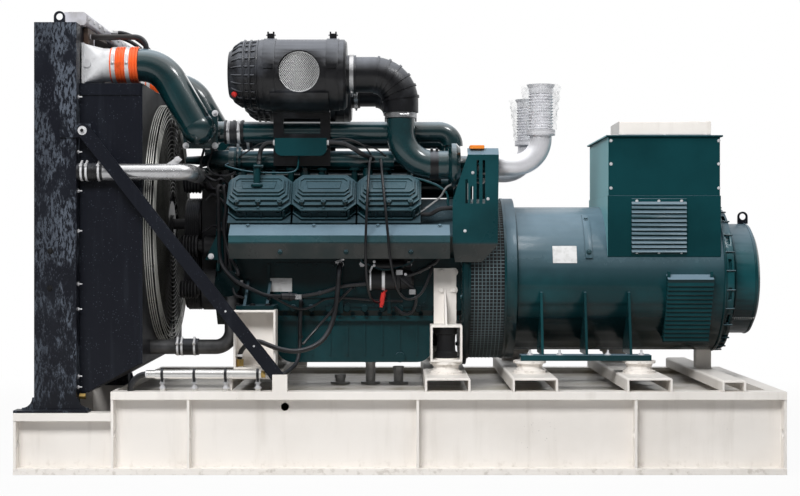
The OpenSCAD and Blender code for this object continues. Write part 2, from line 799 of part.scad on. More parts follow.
// Pipe that drops from the radiator's duct and turns inwards through a square flange
module charge_air_elbows() color(engine_green) both_sides() {
    rod_x(hose_x, -duct_y, duct_z, duct_r - elbow_step, elbow_start_x - hose_x + elbow_lap);
    bend_down(elbow_start_x, -duct_y, duct_z, elbow_bend_r, duct_r, elbow_turn);
    translate([elbow_x, -duct_y, charge_z]) rotate([0, -90 + elbow_turn, 0])
        cylinder(r = duct_r - elbow_step, h = elbow_run + elbow_lap);
    translate([elbow_x, -duct_y, charge_z]) sphere(r = duct_r + fuse);
    rod_y(elbow_x, -duct_y, charge_z, duct_r, duct_y - elbow_flange_y + fuse);
    along_y(-elbow_flange_y, elbow_flange_t) translate([elbow_x, charge_z])
        rounded(elbow_flange_w, elbow_flange_h, 16);
    rod_y(elbow_x, -elbow_flange_y + fuse, charge_z, elbow_case_r, elbow_flange_y - gallery_y + charge_r + 20);
    rod_x(elbow_x, -gallery_y, charge_z, charge_r, elbow_case_r + 20);
}

compressor_x = 254;
compressor_len = 73;
bearing_len = 73;
turbine_len = 105;
turbo_neck_len = 25;
charge_bend_r = 75;
charge_drop_x = compressor_x + compressor_len / 2;
charge_drop_r = 44;

module compressor_space() rod_x(compressor_x, -turbo_y, turbo_z, compressor_r + seat, compressor_len);

// Long pipe over the bank that bends down at its rear end to the compressor's outlet
module charge_air_pipes() color(engine_green) both_sides() {
    rod_x(charge_x, -gallery_y, charge_z, charge_r, charge_drop_x - charge_bend_r - charge_x);
    bend_down(charge_drop_x - charge_bend_r, -gallery_y, charge_z, charge_bend_r, charge_r, 90);
    difference() {
        union() {
            rod_z(charge_drop_x, -gallery_y, turbo_z, charge_drop_r, charge_z - charge_bend_r - turbo_z + fuse);
            translate([charge_drop_x, -gallery_y, turbo_z]) sphere(r = charge_drop_r);
            rod_y(charge_drop_x, -turbo_y + compressor_r / 2, turbo_z, charge_drop_r * 0.75,
                turbo_y - compressor_r / 2 - gallery_y);
        }
        compressor_space();
    }
}

upper_pipe_y = brace_y - brace_t - upper_pipe_r - 3;
upper_hose_x = rad_rear_x + 133;
upper_bend_r = 70;
upper_turn_x = cover_x - 93;
thermostat_y = 130;
thermostat_x = cover_x - 138;
lower_pipe_y = 420;
lower_leg_x = -912;
lower_bend_r = 90;
lower_hose_x = shroud_x + 136;
lower_hose_len = 124;
pump_x = crankcase_x;
pump_z = crank_z - 20;
pump_r = 70;
pump_reach = 150;
tube_y = y_out - 50;
tube_z = deck_z + 17;
tube_r = 26;
tube_x = -1271;
tube_len = 550;
tube_stud_xs = [-1235, -1069, -906, -739];
tube_hose_r = 15;
tube_hose_bend = tube_z - rail_h;

// Rubber joints of the coolant lines, the vent hose and the short hose of the drain tube
module coolant_hoses() color(black) {
    rod_x(rad_rear_x, -upper_pipe_y, upper_pipe_z, upper_pipe_r + 2, upper_hose_x - rad_rear_x);
    rod_x(lower_hose_x, -lower_pipe_y, lower_pipe_z, lower_pipe_r + 5, lower_hose_len);
    both_sides() rod_x(elbow_x + elbow_case_r + 20, -gallery_y, charge_z, charge_r + 4,
        charge_x - elbow_x - elbow_case_r - 20);
    bend_down(vent_x, -vent_y, vent_z, vent_bend_r, vent_r, 90);
    rod_z(vent_x + vent_bend_r, -vent_y, duct_z + duct_r + seat, vent_r,
        vent_z - vent_bend_r - duct_z - duct_r - seat);
    translate([tube_x - 45, -tube_y, 0]) mirror([1, 0, 0])
        bend_down(0, 0, tube_z, tube_hose_bend, tube_hose_r, 90);
}

// Bright upper pipe that turns in to the thermostat housing, and the lower pipe to the water pump
module coolant_pipes() color(steel) {
    rod_x(upper_hose_x, -upper_pipe_y, upper_pipe_z, upper_pipe_r, upper_turn_x - upper_bend_r - upper_hose_x);
    translate([upper_turn_x - upper_bend_r, -upper_pipe_y + upper_bend_r, upper_pipe_z]) rotate([0, 0, -90])
        rotate_extrude(angle = 90) translate([upper_bend_r, 0]) circle(r = upper_pipe_r);
    rod_y(upper_turn_x, -upper_pipe_y + upper_bend_r, upper_pipe_z, upper_pipe_r,
        upper_pipe_y - upper_bend_r - thermostat_y);

    rod_x(shroud_x, -lower_pipe_y, lower_pipe_z, lower_pipe_r, lower_hose_x - shroud_x);
    lower_start_x = lower_hose_x + lower_hose_len;
    rod_x(lower_start_x, -lower_pipe_y, lower_pipe_z, lower_pipe_r, lower_leg_x - lower_bend_r - lower_start_x);
    translate([lower_leg_x - lower_bend_r, -lower_pipe_y, lower_pipe_z + lower_bend_r]) rotate([90, 0, 0])
        rotate([0, 0, -90]) rotate_extrude(angle = 90) translate([lower_bend_r, 0]) circle(r = lower_pipe_r);
    difference() {
        rod_z(lower_leg_x, -lower_pipe_y, lower_pipe_z + lower_bend_r, lower_pipe_r,
            pump_z - lower_pipe_z - lower_bend_r);
        rod_y(pump_x, -skirt_y - pump_reach, pump_z, pump_r + seat, pump_reach);
    }
}

function bank_point(r, across) = [
    across * cos(bank_angle) - r * sin(bank_angle),
    crank_z + across * sin(bank_angle) + r * cos(bank_angle)
];
function mirrored(points) = [for (i = [len(points) - 1 : -1 : 0]) [-points[i][0], points[i][1]]];

skirt_r = (skirt_y - bank_half * cos(bank_angle)) / sin(bank_angle);
valley_r = bank_half / tan(bank_angle) + 70;
skirt_chamfer = 30;
lug_t = 22;
lug_w = 200;
lug_y = 600;
lug_rib_h = 160;
plug_r = 40;
plug_t = 8;
plug_xs = [-590, -470, -210, -30, 90];
port_x = -324;
port_z = crank_z + 85;
port_r = 20;
port_len = 30;
lead_boss_r = 16;
lead_boss_len = 18;
front_lead_x = -95;
front_lead_z = 880;
rear_lead_x = 178;
rear_lead_z = 1085;

module on_bank() translate([0, 0, crank_z]) rotate([bank_angle, 0, 0]) children();

// Block with two banks, side covers, the front lugs and the ports on the service side
module crankcase() color(engine_green) {
    half = [
        [-skirt_y + skirt_chamfer, crankcase_z], [-skirt_y, crankcase_z + skirt_chamfer],
        bank_point(skirt_r, -bank_half), bank_point(deck_r, -bank_half),
        bank_point(deck_r, bank_half), bank_point(valley_r, bank_half)
    ];
    along_x(crankcase_x, crankcase_len) polygon(concat(half, mirrored(half)));
    both_sides() {
        for (x = plug_xs) rod_y(x, -skirt_y - plug_t, crank_z - 40, plug_r, plug_t + fuse);
        translate([front_channel_x - lug_w / 2, -lug_y, front_bracket_top_z])
            cube([lug_w, lug_y - skirt_y + fuse, lug_t]);
        for (side = [-1, 1]) along_x(front_channel_x + side * lug_w * 0.3 - lug_t / 3, lug_t / 1.5) polygon([
            [-skirt_y + fuse, front_bracket_top_z + lug_t - fuse],
            [-lug_y + 40, front_bracket_top_z + lug_t - fuse],
            [-skirt_y + fuse, front_bracket_top_z + lug_rib_h]
        ]);
    }
    rod_y(port_x, -skirt_y - port_len, port_z, port_r, port_len + fuse);
    rod_y(front_lead_x, -skirt_y - lead_boss_len, front_lead_z, lead_boss_r, lead_boss_len + fuse);
    rod_y(rear_lead_x, -skirt_y - lead_boss_len, rear_lead_z, lead_boss_r, lead_boss_len + fuse);
}

sump_flange_t = 28;
sump_corner = 90;
sump_front_z = crankcase_z - 120;
sump_rib_w = 12;
sump_rib_t = 10;
sump_ribs = 8;
drain_boss_r = 28;
drain_boss_x = 0;

// Sump with a deep rear part, a rounded heel, upright ribs and a drain boss
module oil_sump() color(engine_green) {
    rear_x = sump_x + sump_len;
    top_z = crankcase_z - sump_flange_t + fuse;
    translate([crankcase_x + 10, -skirt_y + skirt_chamfer, crankcase_z - sump_flange_t])
        cube([crankcase_len - 20, 2 * (skirt_y - skirt_chamfer), sump_flange_t]);
    along_y(-sump_y, 2 * sump_y) {
        polygon([
            [crankcase_x + 20, top_z], [rear_x, top_z], [rear_x, sump_z + sump_corner],
            [rear_x - sump_corner, sump_z], [sump_x + sump_corner, sump_z],
            [sump_x, sump_z + sump_corner], [sump_x, sump_front_z], [crankcase_x + 20, sump_front_z]
        ]);
        translate([rear_x - sump_corner, sump_z + sump_corner]) circle(r = sump_corner);
        translate([sump_x + sump_corner, sump_z + sump_corner]) circle(r = sump_corner);
    }
    both_sides() {
        for (i = [1 : sump_ribs])
            translate([sump_x + i * sump_len / (sump_ribs + 1), -sump_y - sump_rib_t, sump_z + 40])
                cube([sump_rib_w, sump_rib_t + fuse, top_z - sump_z - 40]);
        rod_y(drain_boss_x, -sump_y - 2 * sump_rib_t, sump_z + drain_boss_r, drain_boss_r,
            2 * sump_rib_t + fuse);
    }
}

front_cover_top_z = 1500;
front_cover_half = [
    [-skirt_y + 70, crankcase_z - 50], [-skirt_y, crankcase_z + 30], [-skirt_y, crank_z + 60],
    [-240, crank_z + 250], [-thermostat_y - 20, crank_z + 320], [-thermostat_y - 20, front_cover_top_z]
];

// Timing cover with the water pump on its service side
module front_cover() color(engine_green) {
    along_x(cover_x, front_cover_len) polygon(concat(front_cover_half, mirrored(front_cover_half)));
    rod_y(pump_x, -skirt_y - pump_reach, pump_z, pump_r, pump_reach);
}

head_count = 3;

module each_head() for (i = [0 : head_count - 1]) translate([head_x + i * head_pitch, 0, 0]) children();

module cylinder_heads() color(engine_green) both_sides() on_bank() each_head()
    translate([0, -bank_half, deck_r + seat]) cube([head_len, 2 * bank_half, head_h - seat]);

cover_half = bank_half - 16;
cover_panel_inset = 16;
cover_panel_depth = 7;
// Steps of a cover from the head upwards: top as a share of its height, then how far its sides draw in
cover_steps = [
    [0.10, 0], [0.47, 12], [0.56, 0], [0.65, 26], [0.72, 18], [0.77, 42], [0.84, 38], [0.92, 58], [1, 74]
];

// Eight-sided outline, drawn in twice as far across the bank as along it
module cover_outline(inset) {
    w = cover_half - inset;
    cut = cover_corner - inset / 3;
    ends = inset / 2;
    polygon([
        [ends + cut, -w], [head_len - ends - cut, -w], [head_len - ends, -w + cut],
        [head_len - ends, w - cut], [head_len - ends - cut, w], [ends + cut, w],
        [ends, w - cut], [ends, -w + cut]
    ]);
}

// Covers built up in flanged tiers, with a sunk panel on top
module rocker_covers() color(engine_green) both_sides() on_bank() each_head() translate([0, 0, head_r])
    difference() {
        for (i = [0 : len(cover_steps) - 1]) {
            low = i == 0 ? 0 : cover_steps[i - 1][0] * cover_h - fuse;
            translate([0, 0, low]) linear_extrude(cover_steps[i][0] * cover_h - low) cover_outline(cover_steps[i][1]);
        }
        translate([0, 0, cover_h - cover_panel_depth]) linear_extrude(2 * cover_panel_depth)
            cover_outline(cover_steps[len(cover_steps) - 1][1] + cover_panel_inset);
    }

manifold_front_x = thermostat_x + 163;
manifold_leg = 240;
manifold_rear_x = -33;
manifold_flange_x = crankcase_x - 13;

module bank_space() on_bank() translate([crankcase_x - fuse, -bank_half - seat, 0])
    cube([crankcase_len + 2 * fuse, 2 * (bank_half + seat), head_r + seat]);

// Coolant rails over the banks, their stubs to the heads and the thermostat housing at the front
module coolant_manifold() color(engine_green) {
    both_sides() {
        rod_x(manifold_front_x, -gallery_y, manifold_z, manifold_r, manifold_rear_x - manifold_front_x);
        translate([manifold_front_x, -gallery_y, manifold_z]) sphere(r = manifold_r);
        rod_y(manifold_front_x, -gallery_y, manifold_z, manifold_r - 1, gallery_y - thermostat_y + 10 * fuse);
        rod_x(manifold_flange_x, -gallery_y, manifold_z, manifold_r + 22, 30);
        difference() {
            each_head() for (part = [0.15, 0.45])
                rod_z(part * head_len, -gallery_y, manifold_z - manifold_leg, manifold_r * 0.55, manifold_leg);
            bank_space();
        }
    }
    along_y(-thermostat_y, 2 * thermostat_y) polygon([
        [thermostat_x, front_cover_top_z], [manifold_front_x + 35, front_cover_top_z],
        [manifold_front_x + 35, manifold_z + 61], [manifold_front_x - 60, manifold_z + 61],
        [manifold_front_x - 70, upper_pipe_z + upper_pipe_r + 18], [thermostat_x, upper_pipe_z + upper_pipe_r + 8]
    ]);
}

shield_rear_gap = 69;
shield_x = crank_rear_x - shield_rear_gap - shield_len;
shield_ridge_z = crank_z + 205;
shield_low_z = crank_z + 116;
turbo_shield_y = turbo_y + 146;
turbo_shield_t = 6;
turbo_shield_low_z = 1189;
turbo_shield_top_z = 1672;
turbo_shield_x = 281;
turbo_shield_len = 248;
// Middle, lower end and height of each upright slot
turbo_slots = [[416, 1411, 232], [448, 1411, 232], [356, 1411, 129], [383, 1411, 91]];
slot_w = 14;
shield_post_xs = [430, 480];

// Ridged cover along the exhaust side of a bank
module exhaust_shield() difference() {
    along_x(shield_x, shield_len) polygon([
        [-skirt_y - 20, shield_low_z + 30], [-shield_y + 38, shield_low_z], [-shield_y, shield_ridge_z],
        [-shield_y + 12, shield_ridge_z + 35], [-shield_y + 130, shield_ridge_z + 125]
    ]);
    bank_space();
}

// Bent sheet with slots, on two posts at the turbine
module turbo_shield() {
    y = turbo_shield_y;
    rear_x = turbo_shield_x + turbo_shield_len;
    difference() {
        intersection() {
            along_x(turbo_shield_x, turbo_shield_len) polygon([
                [-y + 56, turbo_shield_top_z + 38], [-y, turbo_shield_top_z], [-y, turbo_shield_low_z],
                [-y + 46, turbo_shield_low_z - 92], [-y + 52, turbo_shield_low_z - 92],
                [-y + turbo_shield_t, turbo_shield_low_z], [-y + turbo_shield_t, turbo_shield_top_z - 3],
                [-y + 59, turbo_shield_top_z + 33]
            ]);
            along_y(-y - fuse, turbo_shield_t + 60) polygon([
                [turbo_shield_x + 81, turbo_shield_top_z + 60], [rear_x, turbo_shield_top_z + 60],
                [rear_x - 7, turbo_shield_low_z], [rear_x - 97, turbo_shield_low_z - 100],
                [turbo_shield_x + 16, turbo_shield_low_z - 100], [turbo_shield_x, turbo_shield_low_z],
                [turbo_shield_x, turbo_shield_low_z + 238], [turbo_shield_x + 81, turbo_shield_top_z]
            ]);
        }
        for (slot = turbo_slots) translate([slot[0] - slot_w / 2, -y - fuse, slot[1]])
            cube([slot_w, turbo_shield_t + 2 * fuse, slot[2]]);
    }
    for (x = shield_post_xs)
        rod_y(x, -y + turbo_shield_t - fuse, turbo_z, 10, y - turbo_shield_t + fuse - turbo_y - turbine_r);
}

module heat_shields() color(engine_green) both_sides() {
    exhaust_shield();
    turbo_shield();
}

pedestal_x = crank_rear_x + 3;
pedestal_w = flywheel_len - 6;
pedestal_half = 40;

// Compressor, bearing housing and turbine on one axis, standing on the flywheel housing
module turbochargers() color([0.25, 0.24, 0.23]) both_sides() {
    r = compressor_r;
    bearing_x = compressor_len + bearing_len;
    turbine_end = bearing_x + turbine_len;
    turned_x(compressor_x, -turbo_y, turbo_z) polygon([
        [0, 0], [intake_r, 0], [intake_r, 8], [r - 26, 8], [r, 26], [r, compressor_len - 22],
        [r - 22, compressor_len], [50, compressor_len], [50, bearing_x], [turbine_r - 16, bearing_x],
        [turbine_r, bearing_x + 18], [turbine_r, turbine_end - 16], [turbine_r - 12, turbine_end],
        [exhaust_r, turbine_end], [exhaust_r, turbine_end + turbo_neck_len], [0, turbine_end + turbo_neck_len]
    ]);
    difference() {
        translate([pedestal_x, -turbo_y - pedestal_half, crank_z])
            cube([pedestal_w, 2 * pedestal_half, turbo_z - crank_z]);
        rod_x(crank_rear_x - fuse, 0, crank_z, flywheel_r + seat, flywheel_len + 2 * fuse);
    }
}

exhaust_start_x = compressor_x + compressor_len + bearing_len + turbine_len + turbo_neck_len;
exhaust_bend_r = 145;
exhaust_flange_t = 15;
exhaust_flange_r = exhaust_r + 19;
outlet_len = 50;
outlet_r = 55;
bellows_folds = 12;

// Elbow from the turbine up to a round flange
module exhaust_elbows() color(steel) both_sides() {
    rod_x(exhaust_start_x, -turbo_y, turbo_z, exhaust_r, exhaust_x - exhaust_bend_r - exhaust_start_x);
    translate([exhaust_x - exhaust_bend_r, -turbo_y, turbo_z + exhaust_bend_r]) rotate([90, 0, 0])
        rotate([0, 0, -90]) rotate_extrude(angle = 90) translate([exhaust_bend_r, 0]) circle(r = exhaust_r);
    rod_z(exhaust_x, -turbo_y, turbo_z + exhaust_bend_r, exhaust_r,
        exhaust_flange_z - turbo_z - exhaust_bend_r);
    rod_z(exhaust_x, -turbo_y, exhaust_flange_z - exhaust_flange_t, exhaust_flange_r, exhaust_flange_t);
}

// Folded sleeve between the flange and the outlet
module exhaust_bellows() color(steel) both_sides() turned_z(exhaust_x, -turbo_y, exhaust_flange_z) {
    fold_len = exhaust_top_z - outlet_len - exhaust_flange_z - exhaust_flange_t;
    pitch = fold_len / bellows_folds;
    folds = [for (i = [0 : bellows_folds - 1], part = [[0.25, 0], [0.75, -9]])
        [bellows_r + part[1], exhaust_flange_t + (i + part[0]) * pitch]];
    polygon(concat(
        [[0, 0], [exhaust_flange_r, 0], [exhaust_flange_r, exhaust_flange_t],
            [bellows_r - 9, exhaust_flange_t]],
        folds,
        [[bellows_r - 9, exhaust_flange_t + fold_len], [0, exhaust_flange_t + fold_len]]
    ));
}

// Flared collar at the top of each exhaust
module exhaust_outlets() color(steel) both_sides() turned_z(exhaust_x, -turbo_y, exhaust_top_z - outlet_len)
    polygon([
        [outlet_r, 0], [outlet_r + 10, 0], [outlet_r + 10, 0.6 * outlet_len],
        [outlet_r + 22, outlet_len], [outlet_r, outlet_len]
    ]);

cleaner_cap = 175;
cleaner_band_xs = [190, 529];
cleaner_band_w = 66;
cleaner_band_t = 5;
cleaner_neck_r = 105;
cleaner_neck_len = 50;
inlet_setback = 386;
inlet_x = cleaner_x + inlet_setback;
inlet_depth = 60;
lug_size = 34;

// Canister with a ribbed cap, two clamping bands, a round inlet on its side and an outlet neck
module air_cleaners() color(black) both_sides() {
    r = cleaner_r;
    difference() {
        union() {
            turned_x(cleaner_x, -turbo_y, cleaner_z) polygon([
                [0, 0], [r - 66, 0], [r - 18, 62], [r - 18, 80], [r - 10, 80], [r - 10, 96], [r - 18, 96],
                [r - 18, 112], [r - 10, 112], [r - 10, 128], [r - 18, 128], [r - 8, cleaner_cap - 20],
                [r, cleaner_cap], [r, cleaner_len - 14], [r - 14, cleaner_len],
                [cleaner_neck_r, cleaner_len], [cleaner_neck_r, cleaner_len + cleaner_neck_len],
                [0, cleaner_len + cleaner_neck_len]
            ]);
            for (x = cleaner_band_xs) {
                rod_x(cleaner_x + x, -turbo_y, cleaner_z, r + cleaner_band_t, cleaner_band_w);
                translate([cleaner_x + x + (cleaner_band_w - lug_size) / 2, -turbo_y - lug_size / 2,
                    cleaner_z + r - fuse]) cube([lug_size, lug_size, lug_size]);
            }
        }
        rod_y(inlet_x, -turbo_y - r - fuse, cleaner_z, inlet_r, inlet_depth);
    }
}

hose_start_x = cleaner_x + cleaner_len + cleaner_neck_len;
hose_bend_r = 150;
hose_end_z = cleaner_z - hose_bend_r - 56;
hose_ribs = 6;
hose_rib_w = 12;

// Ribbed rubber elbow from the air cleaner down to the metal intake
module intake_hoses() color(black) both_sides() {
    bend_x = intake_x - hose_bend_r;
    rod_x(hose_start_x, -turbo_y, cleaner_z, rubber_elbow_r, bend_x - hose_start_x);
    bend_down(bend_x, -turbo_y, cleaner_z, hose_bend_r, rubber_elbow_r, 90);
    rod_z(intake_x, -turbo_y, hose_end_z, rubber_elbow_r, cleaner_z - hose_bend_r - hose_end_z);
    for (i = [0 : hose_ribs - 1])
        translate([bend_x, -turbo_y, cleaner_z - hose_bend_r]) rotate([0, 90 * (i + 0.5) / hose_ribs, 0])
            translate([-hose_rib_w / 2, 0, hose_bend_r]) rotate([0, 90, 0])
                cylinder(r = rubber_elbow_r + 7, h = hose_rib_w);
}

intake_bend_r = 180;

// Metal elbow from the rubber hose to the compressor's mouth
module intake_elbows() color(engine_green) both_sides() {
    rod_z(intake_x, -turbo_y, turbo_z + intake_bend_r, intake_r, hose_end_z - turbo_z - intake_bend_r);
    translate([intake_x + intake_bend_r, -turbo_y, turbo_z + intake_bend_r]) rotate([90, 0, 0])
        rotate([0, 0, 180]) rotate_extrude(angle = 90) translate([intake_bend_r, 0]) circle(r = intake_r);
    rod_x(intake_x + intake_bend_r, -turbo_y, turbo_z, intake_r, compressor_x - intake_x - intake_bend_r);
}

stand_x = -695;
stand_w = 312;
stand_t = 10;
stand_y = gallery_y + charge_r + 18;
stand_low_z = manifold_z - 35;
stand_pad_r = 22;
cradle_t = 10;
cradle_drop = 116;

// Upright plate with a window on the coolant rail, carrying a curved cradle under the air cleaner
module cleaner_brackets() color(black) both_sides() {
    difference() {
        translate([stand_x, -stand_y, stand_low_z])
            cube([stand_w, stand_t, cleaner_z - stand_low_z - cradle_drop]);
        rod_x(cleaner_x, -turbo_y, cleaner_z, cleaner_r + cleaner_band_t + seat, cleaner_len);
        translate([stand_x + 55, -stand_y - fuse, charge_z - 15]) cube([stand_w - 110, stand_t + 2 * fuse, 85]);
    }
    difference() {
        intersection() {
            rod_x(stand_x, -turbo_y, cleaner_z, cleaner_r + cleaner_band_t + cradle_t, stand_w);
            translate([stand_x, -turbo_y - cleaner_r, cleaner_z - 2 * cleaner_r])
                cube([stand_w, 2 * cleaner_r, 2 * cleaner_r - cradle_drop]);
        }
        rod_x(stand_x - fuse, -turbo_y, cleaner_z, cleaner_r + seat, stand_w + 2 * fuse);
        for (x = cleaner_band_xs)
            rod_x(cleaner_x + x - fuse, -turbo_y, cleaner_z, cleaner_r + cleaner_band_t + seat,
                cleaner_band_w + 2 * fuse);
    }
    difference() {
        for (part = [0.25, 0.75]) rod_y(stand_x + part * stand_w, -stand_y + stand_t - fuse, manifold_z,
            stand_pad_r, stand_y - gallery_y);
        rod_x(stand_x, -gallery_y, manifold_z, manifold_r + seat, stand_w);
    }
}

junction_w = 283;
junction_h = 96;
junction_depth = 94;

// Cable box on the near stand, with a rounded lower edge
module junction_box() color(engine_green) along_y(-stand_y - junction_depth, junction_depth)
    translate([stand_x + stand_w / 2, manifold_z + 15 + junction_h / 2]) {
        rounded(junction_w, junction_h, 40);
        translate([-junction_w / 2, 0]) square([junction_w, junction_h / 2]);
    }

coupling_hub_r = 300;

// Bell housing disc and the coupling that runs inside the guard
module flywheel_housing() color(engine_green) turned_x(crank_rear_x, 0, crank_z) polygon([
    [0, 0], [flywheel_r - 10, 0], [flywheel_r, 10], [flywheel_r, flywheel_len],
    [coupling_hub_r, flywheel_len], [coupling_hub_r, alternator_x - crank_rear_x],
    [0, alternator_x - crank_rear_x]
]);

coupling_t = 4;
coupling_band = 14;

// Round guard with a rolled band at each end
module coupling_guard() color(engine_green) turned_x(flywheel_rear_x, 0, crank_z) {
    guard_w = alternator_x - flywheel_rear_x;
    polygon([
        [coupling_r - coupling_t, 0], [coupling_r + coupling_t, 0],
        [coupling_r + coupling_t, coupling_band], [coupling_r, coupling_band],
        [coupling_r, guard_w - coupling_band], [coupling_r + coupling_t, guard_w - coupling_band],
        [coupling_r + coupling_t, guard_w], [coupling_r - coupling_t, guard_w]
    ]);
}

side_lug_x = 1010;
side_lug_w = 38;
side_lug_low = 119;
side_lug_h = 238;
side_lug_t = 14;

// Adaptor ring and round frame, with a raised strap on each shoulder
module alternator_frame() color(engine_green) {
    r = alternator_r;
    end = adaptor_len + alternator_len;
    turned_x(alternator_x, 0, crank_z) polygon([
        [0, 0], [adaptor_r, 0], [adaptor_r, adaptor_len], [r, adaptor_len], [r, end], [0, end]
    ]);
    both_sides() intersection() {
        rod_x(side_lug_x, 0, crank_z, r + side_lug_t, side_lug_w);
        translate([side_lug_x, -r - side_lug_t, crank_z + side_lug_low]) cube([side_lug_w, r, side_lug_h]);
    }
}

foot_rail_w = 100;
foot_web_t = 14;
foot_web_h = 368;

// Foot rails on the mounts, with webs up to the frame
module alternator_feet() color(engine_green) both_sides() {
    translate([foot_rail_x, -foot_y - foot_rail_w / 2, foot_z]) cube([foot_rail_len, foot_rail_w, foot_rail_t]);
    difference() {
        for (x = gusset_xs) along_x(x - foot_web_t / 2, foot_web_t) polygon([
            [-foot_y - 0.4 * foot_rail_w, foot_z + foot_rail_t - fuse],
            [-foot_y + 2.2 * foot_rail_w, foot_z + foot_rail_t - fuse],
            [-foot_y + 2.2 * foot_rail_w, foot_z + foot_rail_t + 80],
            [-alternator_r + 40, foot_z + foot_web_h], [-alternator_r - 12, foot_z + foot_web_h]
        ]);
        rod_x(frame_x, 0, crank_z, alternator_r + seat, alternator_len);
    }
}

vent_count = 16;
vent_w = 70;
vent_depth = 26;
bell_chamfer = 20;

// Ring with air vents round its rim, and the bell over the exciter
module alternator_end_bell() color(engine_green) difference() {
    turned_x(frame_rear_x, 0, crank_z) polygon([
        [0, 0], [end_ring_r, 0], [end_ring_r, end_ring_len], [end_bell_r, end_ring_len],
        [end_bell_r, end_ring_len + end_bell_len - bell_chamfer],
        [end_bell_r - 2 * bell_chamfer, end_ring_len + end_bell_len], [0, end_ring_len + end_bell_len]
    ]);
    for (i = [0 : vent_count - 1]) translate([0, 0, crank_z]) rotate([360 * (i + 0.5) / vent_count, 0, 0])
        translate([frame_rear_x + end_ring_len / 3, -vent_w / 2, end_ring_r - vent_depth])
            cube([end_ring_len / 2.5, vent_w, 2 * vent_depth]);
}

box_low_z = crank_z + sqrt(alternator_r * alternator_r - box_y * box_y) + 12;
box_cover_inset = 4;
lid_t = 8;
lid_lip = 10;

// Lower box, saddled over the frame
module terminal_box() color(engine_green) difference() {
    translate([box_x, -box_y, box_low_z]) cube([box_len, 2 * box_y, box_split_z - box_low_z]);
    rod_x(frame_x, 0, crank_z, alternator_r + seat, alternator_len);
}

// Upper cover with an overhanging lid
module terminal_box_cover() color(engine_green) {
    translate([box_x + box_cover_inset, -box_y + box_cover_inset, box_split_z])
        cube([box_len - 2 * box_cover_inset, 2 * (box_y - box_cover_inset), box_top_z - box_split_z]);
    translate([box_x - lid_lip, -box_y - lid_lip, box_top_z - fuse])
        cube([box_len + 2 * lid_lip, 2 * (box_y + lid_lip), lid_t + fuse]);
}

top_box_x = box_x + 66;
top_box_len = 500;
top_box_y = 330;

// Pale box on the lid, with rounded long edges
module terminal_top_box() color(cream) along_x(top_box_x, top_box_len)
    translate([-box_y + top_box_y / 2 + 10, box_top_z + lid_t + top_box_h / 2])
        rounded(top_box_y, top_box_h, 8);

louvre_x = box_x + 129;
louvre_len = 302;
louvre_low_z = box_low_z + 10;
louvre_h = box_split_z - box_low_z - 26;
louvre_plate_t = 4;
louvre_depth = 12;
low_louvre_x = 1447;
low_louvre_len = 251;
low_louvre_h = 384;
low_louvre_count = 14;
low_louvre_tilt = 24;
low_louvre_base = 14;

// Side view of a plate pressed into sloping louvres, whose lips face down
module louvre_outline(h, count) {
    pitch = h / (count + 1);
    slats = [for (i = [0 : count - 1], part = [[0.5, 0], [0.55, louvre_depth], [1.25, 0]])
        [-louvre_plate_t - part[1], (i + part[0]) * pitch]];
    polygon(concat([[0, 0], [-louvre_plate_t, 0]], slats, [[-louvre_plate_t, h], [0, h]]));
}

// Louvred panels on the terminal box and on the lower flanks of the alternator
module louvre_panels() color(engine_green) both_sides() {
    along_x(louvre_x, louvre_len) translate([-box_y, louvre_low_z]) louvre_outline(louvre_h, louvre_count);
    difference() {
        translate([0, 0, crank_z]) rotate([low_louvre_tilt, 0, 0]) {
            along_x(low_louvre_x, low_louvre_len)
                translate([-alternator_r - low_louvre_base, -low_louvre_h / 2])
                    louvre_outline(low_louvre_h, low_louvre_count);
            translate([low_louvre_x, -alternator_r - low_louvre_base - fuse / 2, -low_louvre_h / 2])
                cube([low_louvre_len, alternator_r / 3, low_louvre_h]);
        }
        rod_x(frame_x, 0, crank_z, alternator_r + seat, alternator_len);
    }
}

drain_fitting_x = -852;
drain_fitting_y = 575;
drain_fitting_r = 16;
drain_fitting_h = 34;

// Drain tube on four studs along the near rail, and the union that the oil drain hose plugs into
module drain_tube() color(steel) {
    rod_x(tube_x, -tube_y, tube_z, tube_r, tube_len);
    rod_x(tube_x - 45, -tube_y, tube_z, tube_r * 0.8, 45 + fuse);
    for (x = tube_stud_xs) {
        rod_z(x, -tube_y, rail_h, 8, tube_z - rail_h);
        rod_z(x, -tube_y, rail_h, 15, 14);
    }
    rod_z(drain_fitting_x, -drain_fitting_y, deck_z + front_mount_h + bracket_t, drain_fitting_r,
        drain_fitting_h);
}

oil_hose_d = 26;
lead_d = 14;

// Route of the oil drain hose, from the crankcase port to the union in the front bracket
oil_hose_route = [
    [-324, -360, 1085], [-324, -388, 1085], [-325, -438, 1071], [-328, -474, 1035], [-332, -488, 985],
    [-338, -490, 920], [-346, -492, 850], [-360, -500, 785], [-385, -522, 722], [-425, -558, 672],
    [-485, -600, 640], [-555, -632, 628], [-625, -648, 638], [-690, -645, 660], [-745, -626, 678],
    [-800, -602, 668], [-837, -583, 636], [-852, -575, 604], [-852, -575, 574]
];
// Route of the front sensor lead, over the middle cover and down to the crankcase
front_lead_route = [
    [-160, -302, 1659], [-160, -340, 1659], [-160, -390, 1662], [-162, -440, 1648], [-165, -490, 1612],
    [-168, -540, 1552], [-172, -585, 1470], [-176, -614, 1375], [-180, -626, 1270], [-182, -626, 1170],
    [-180, -610, 1070], [-174, -574, 980], [-160, -520, 912], [-136, -450, 880], [-95, -380, 880],
    [-95, -348, 880]
];
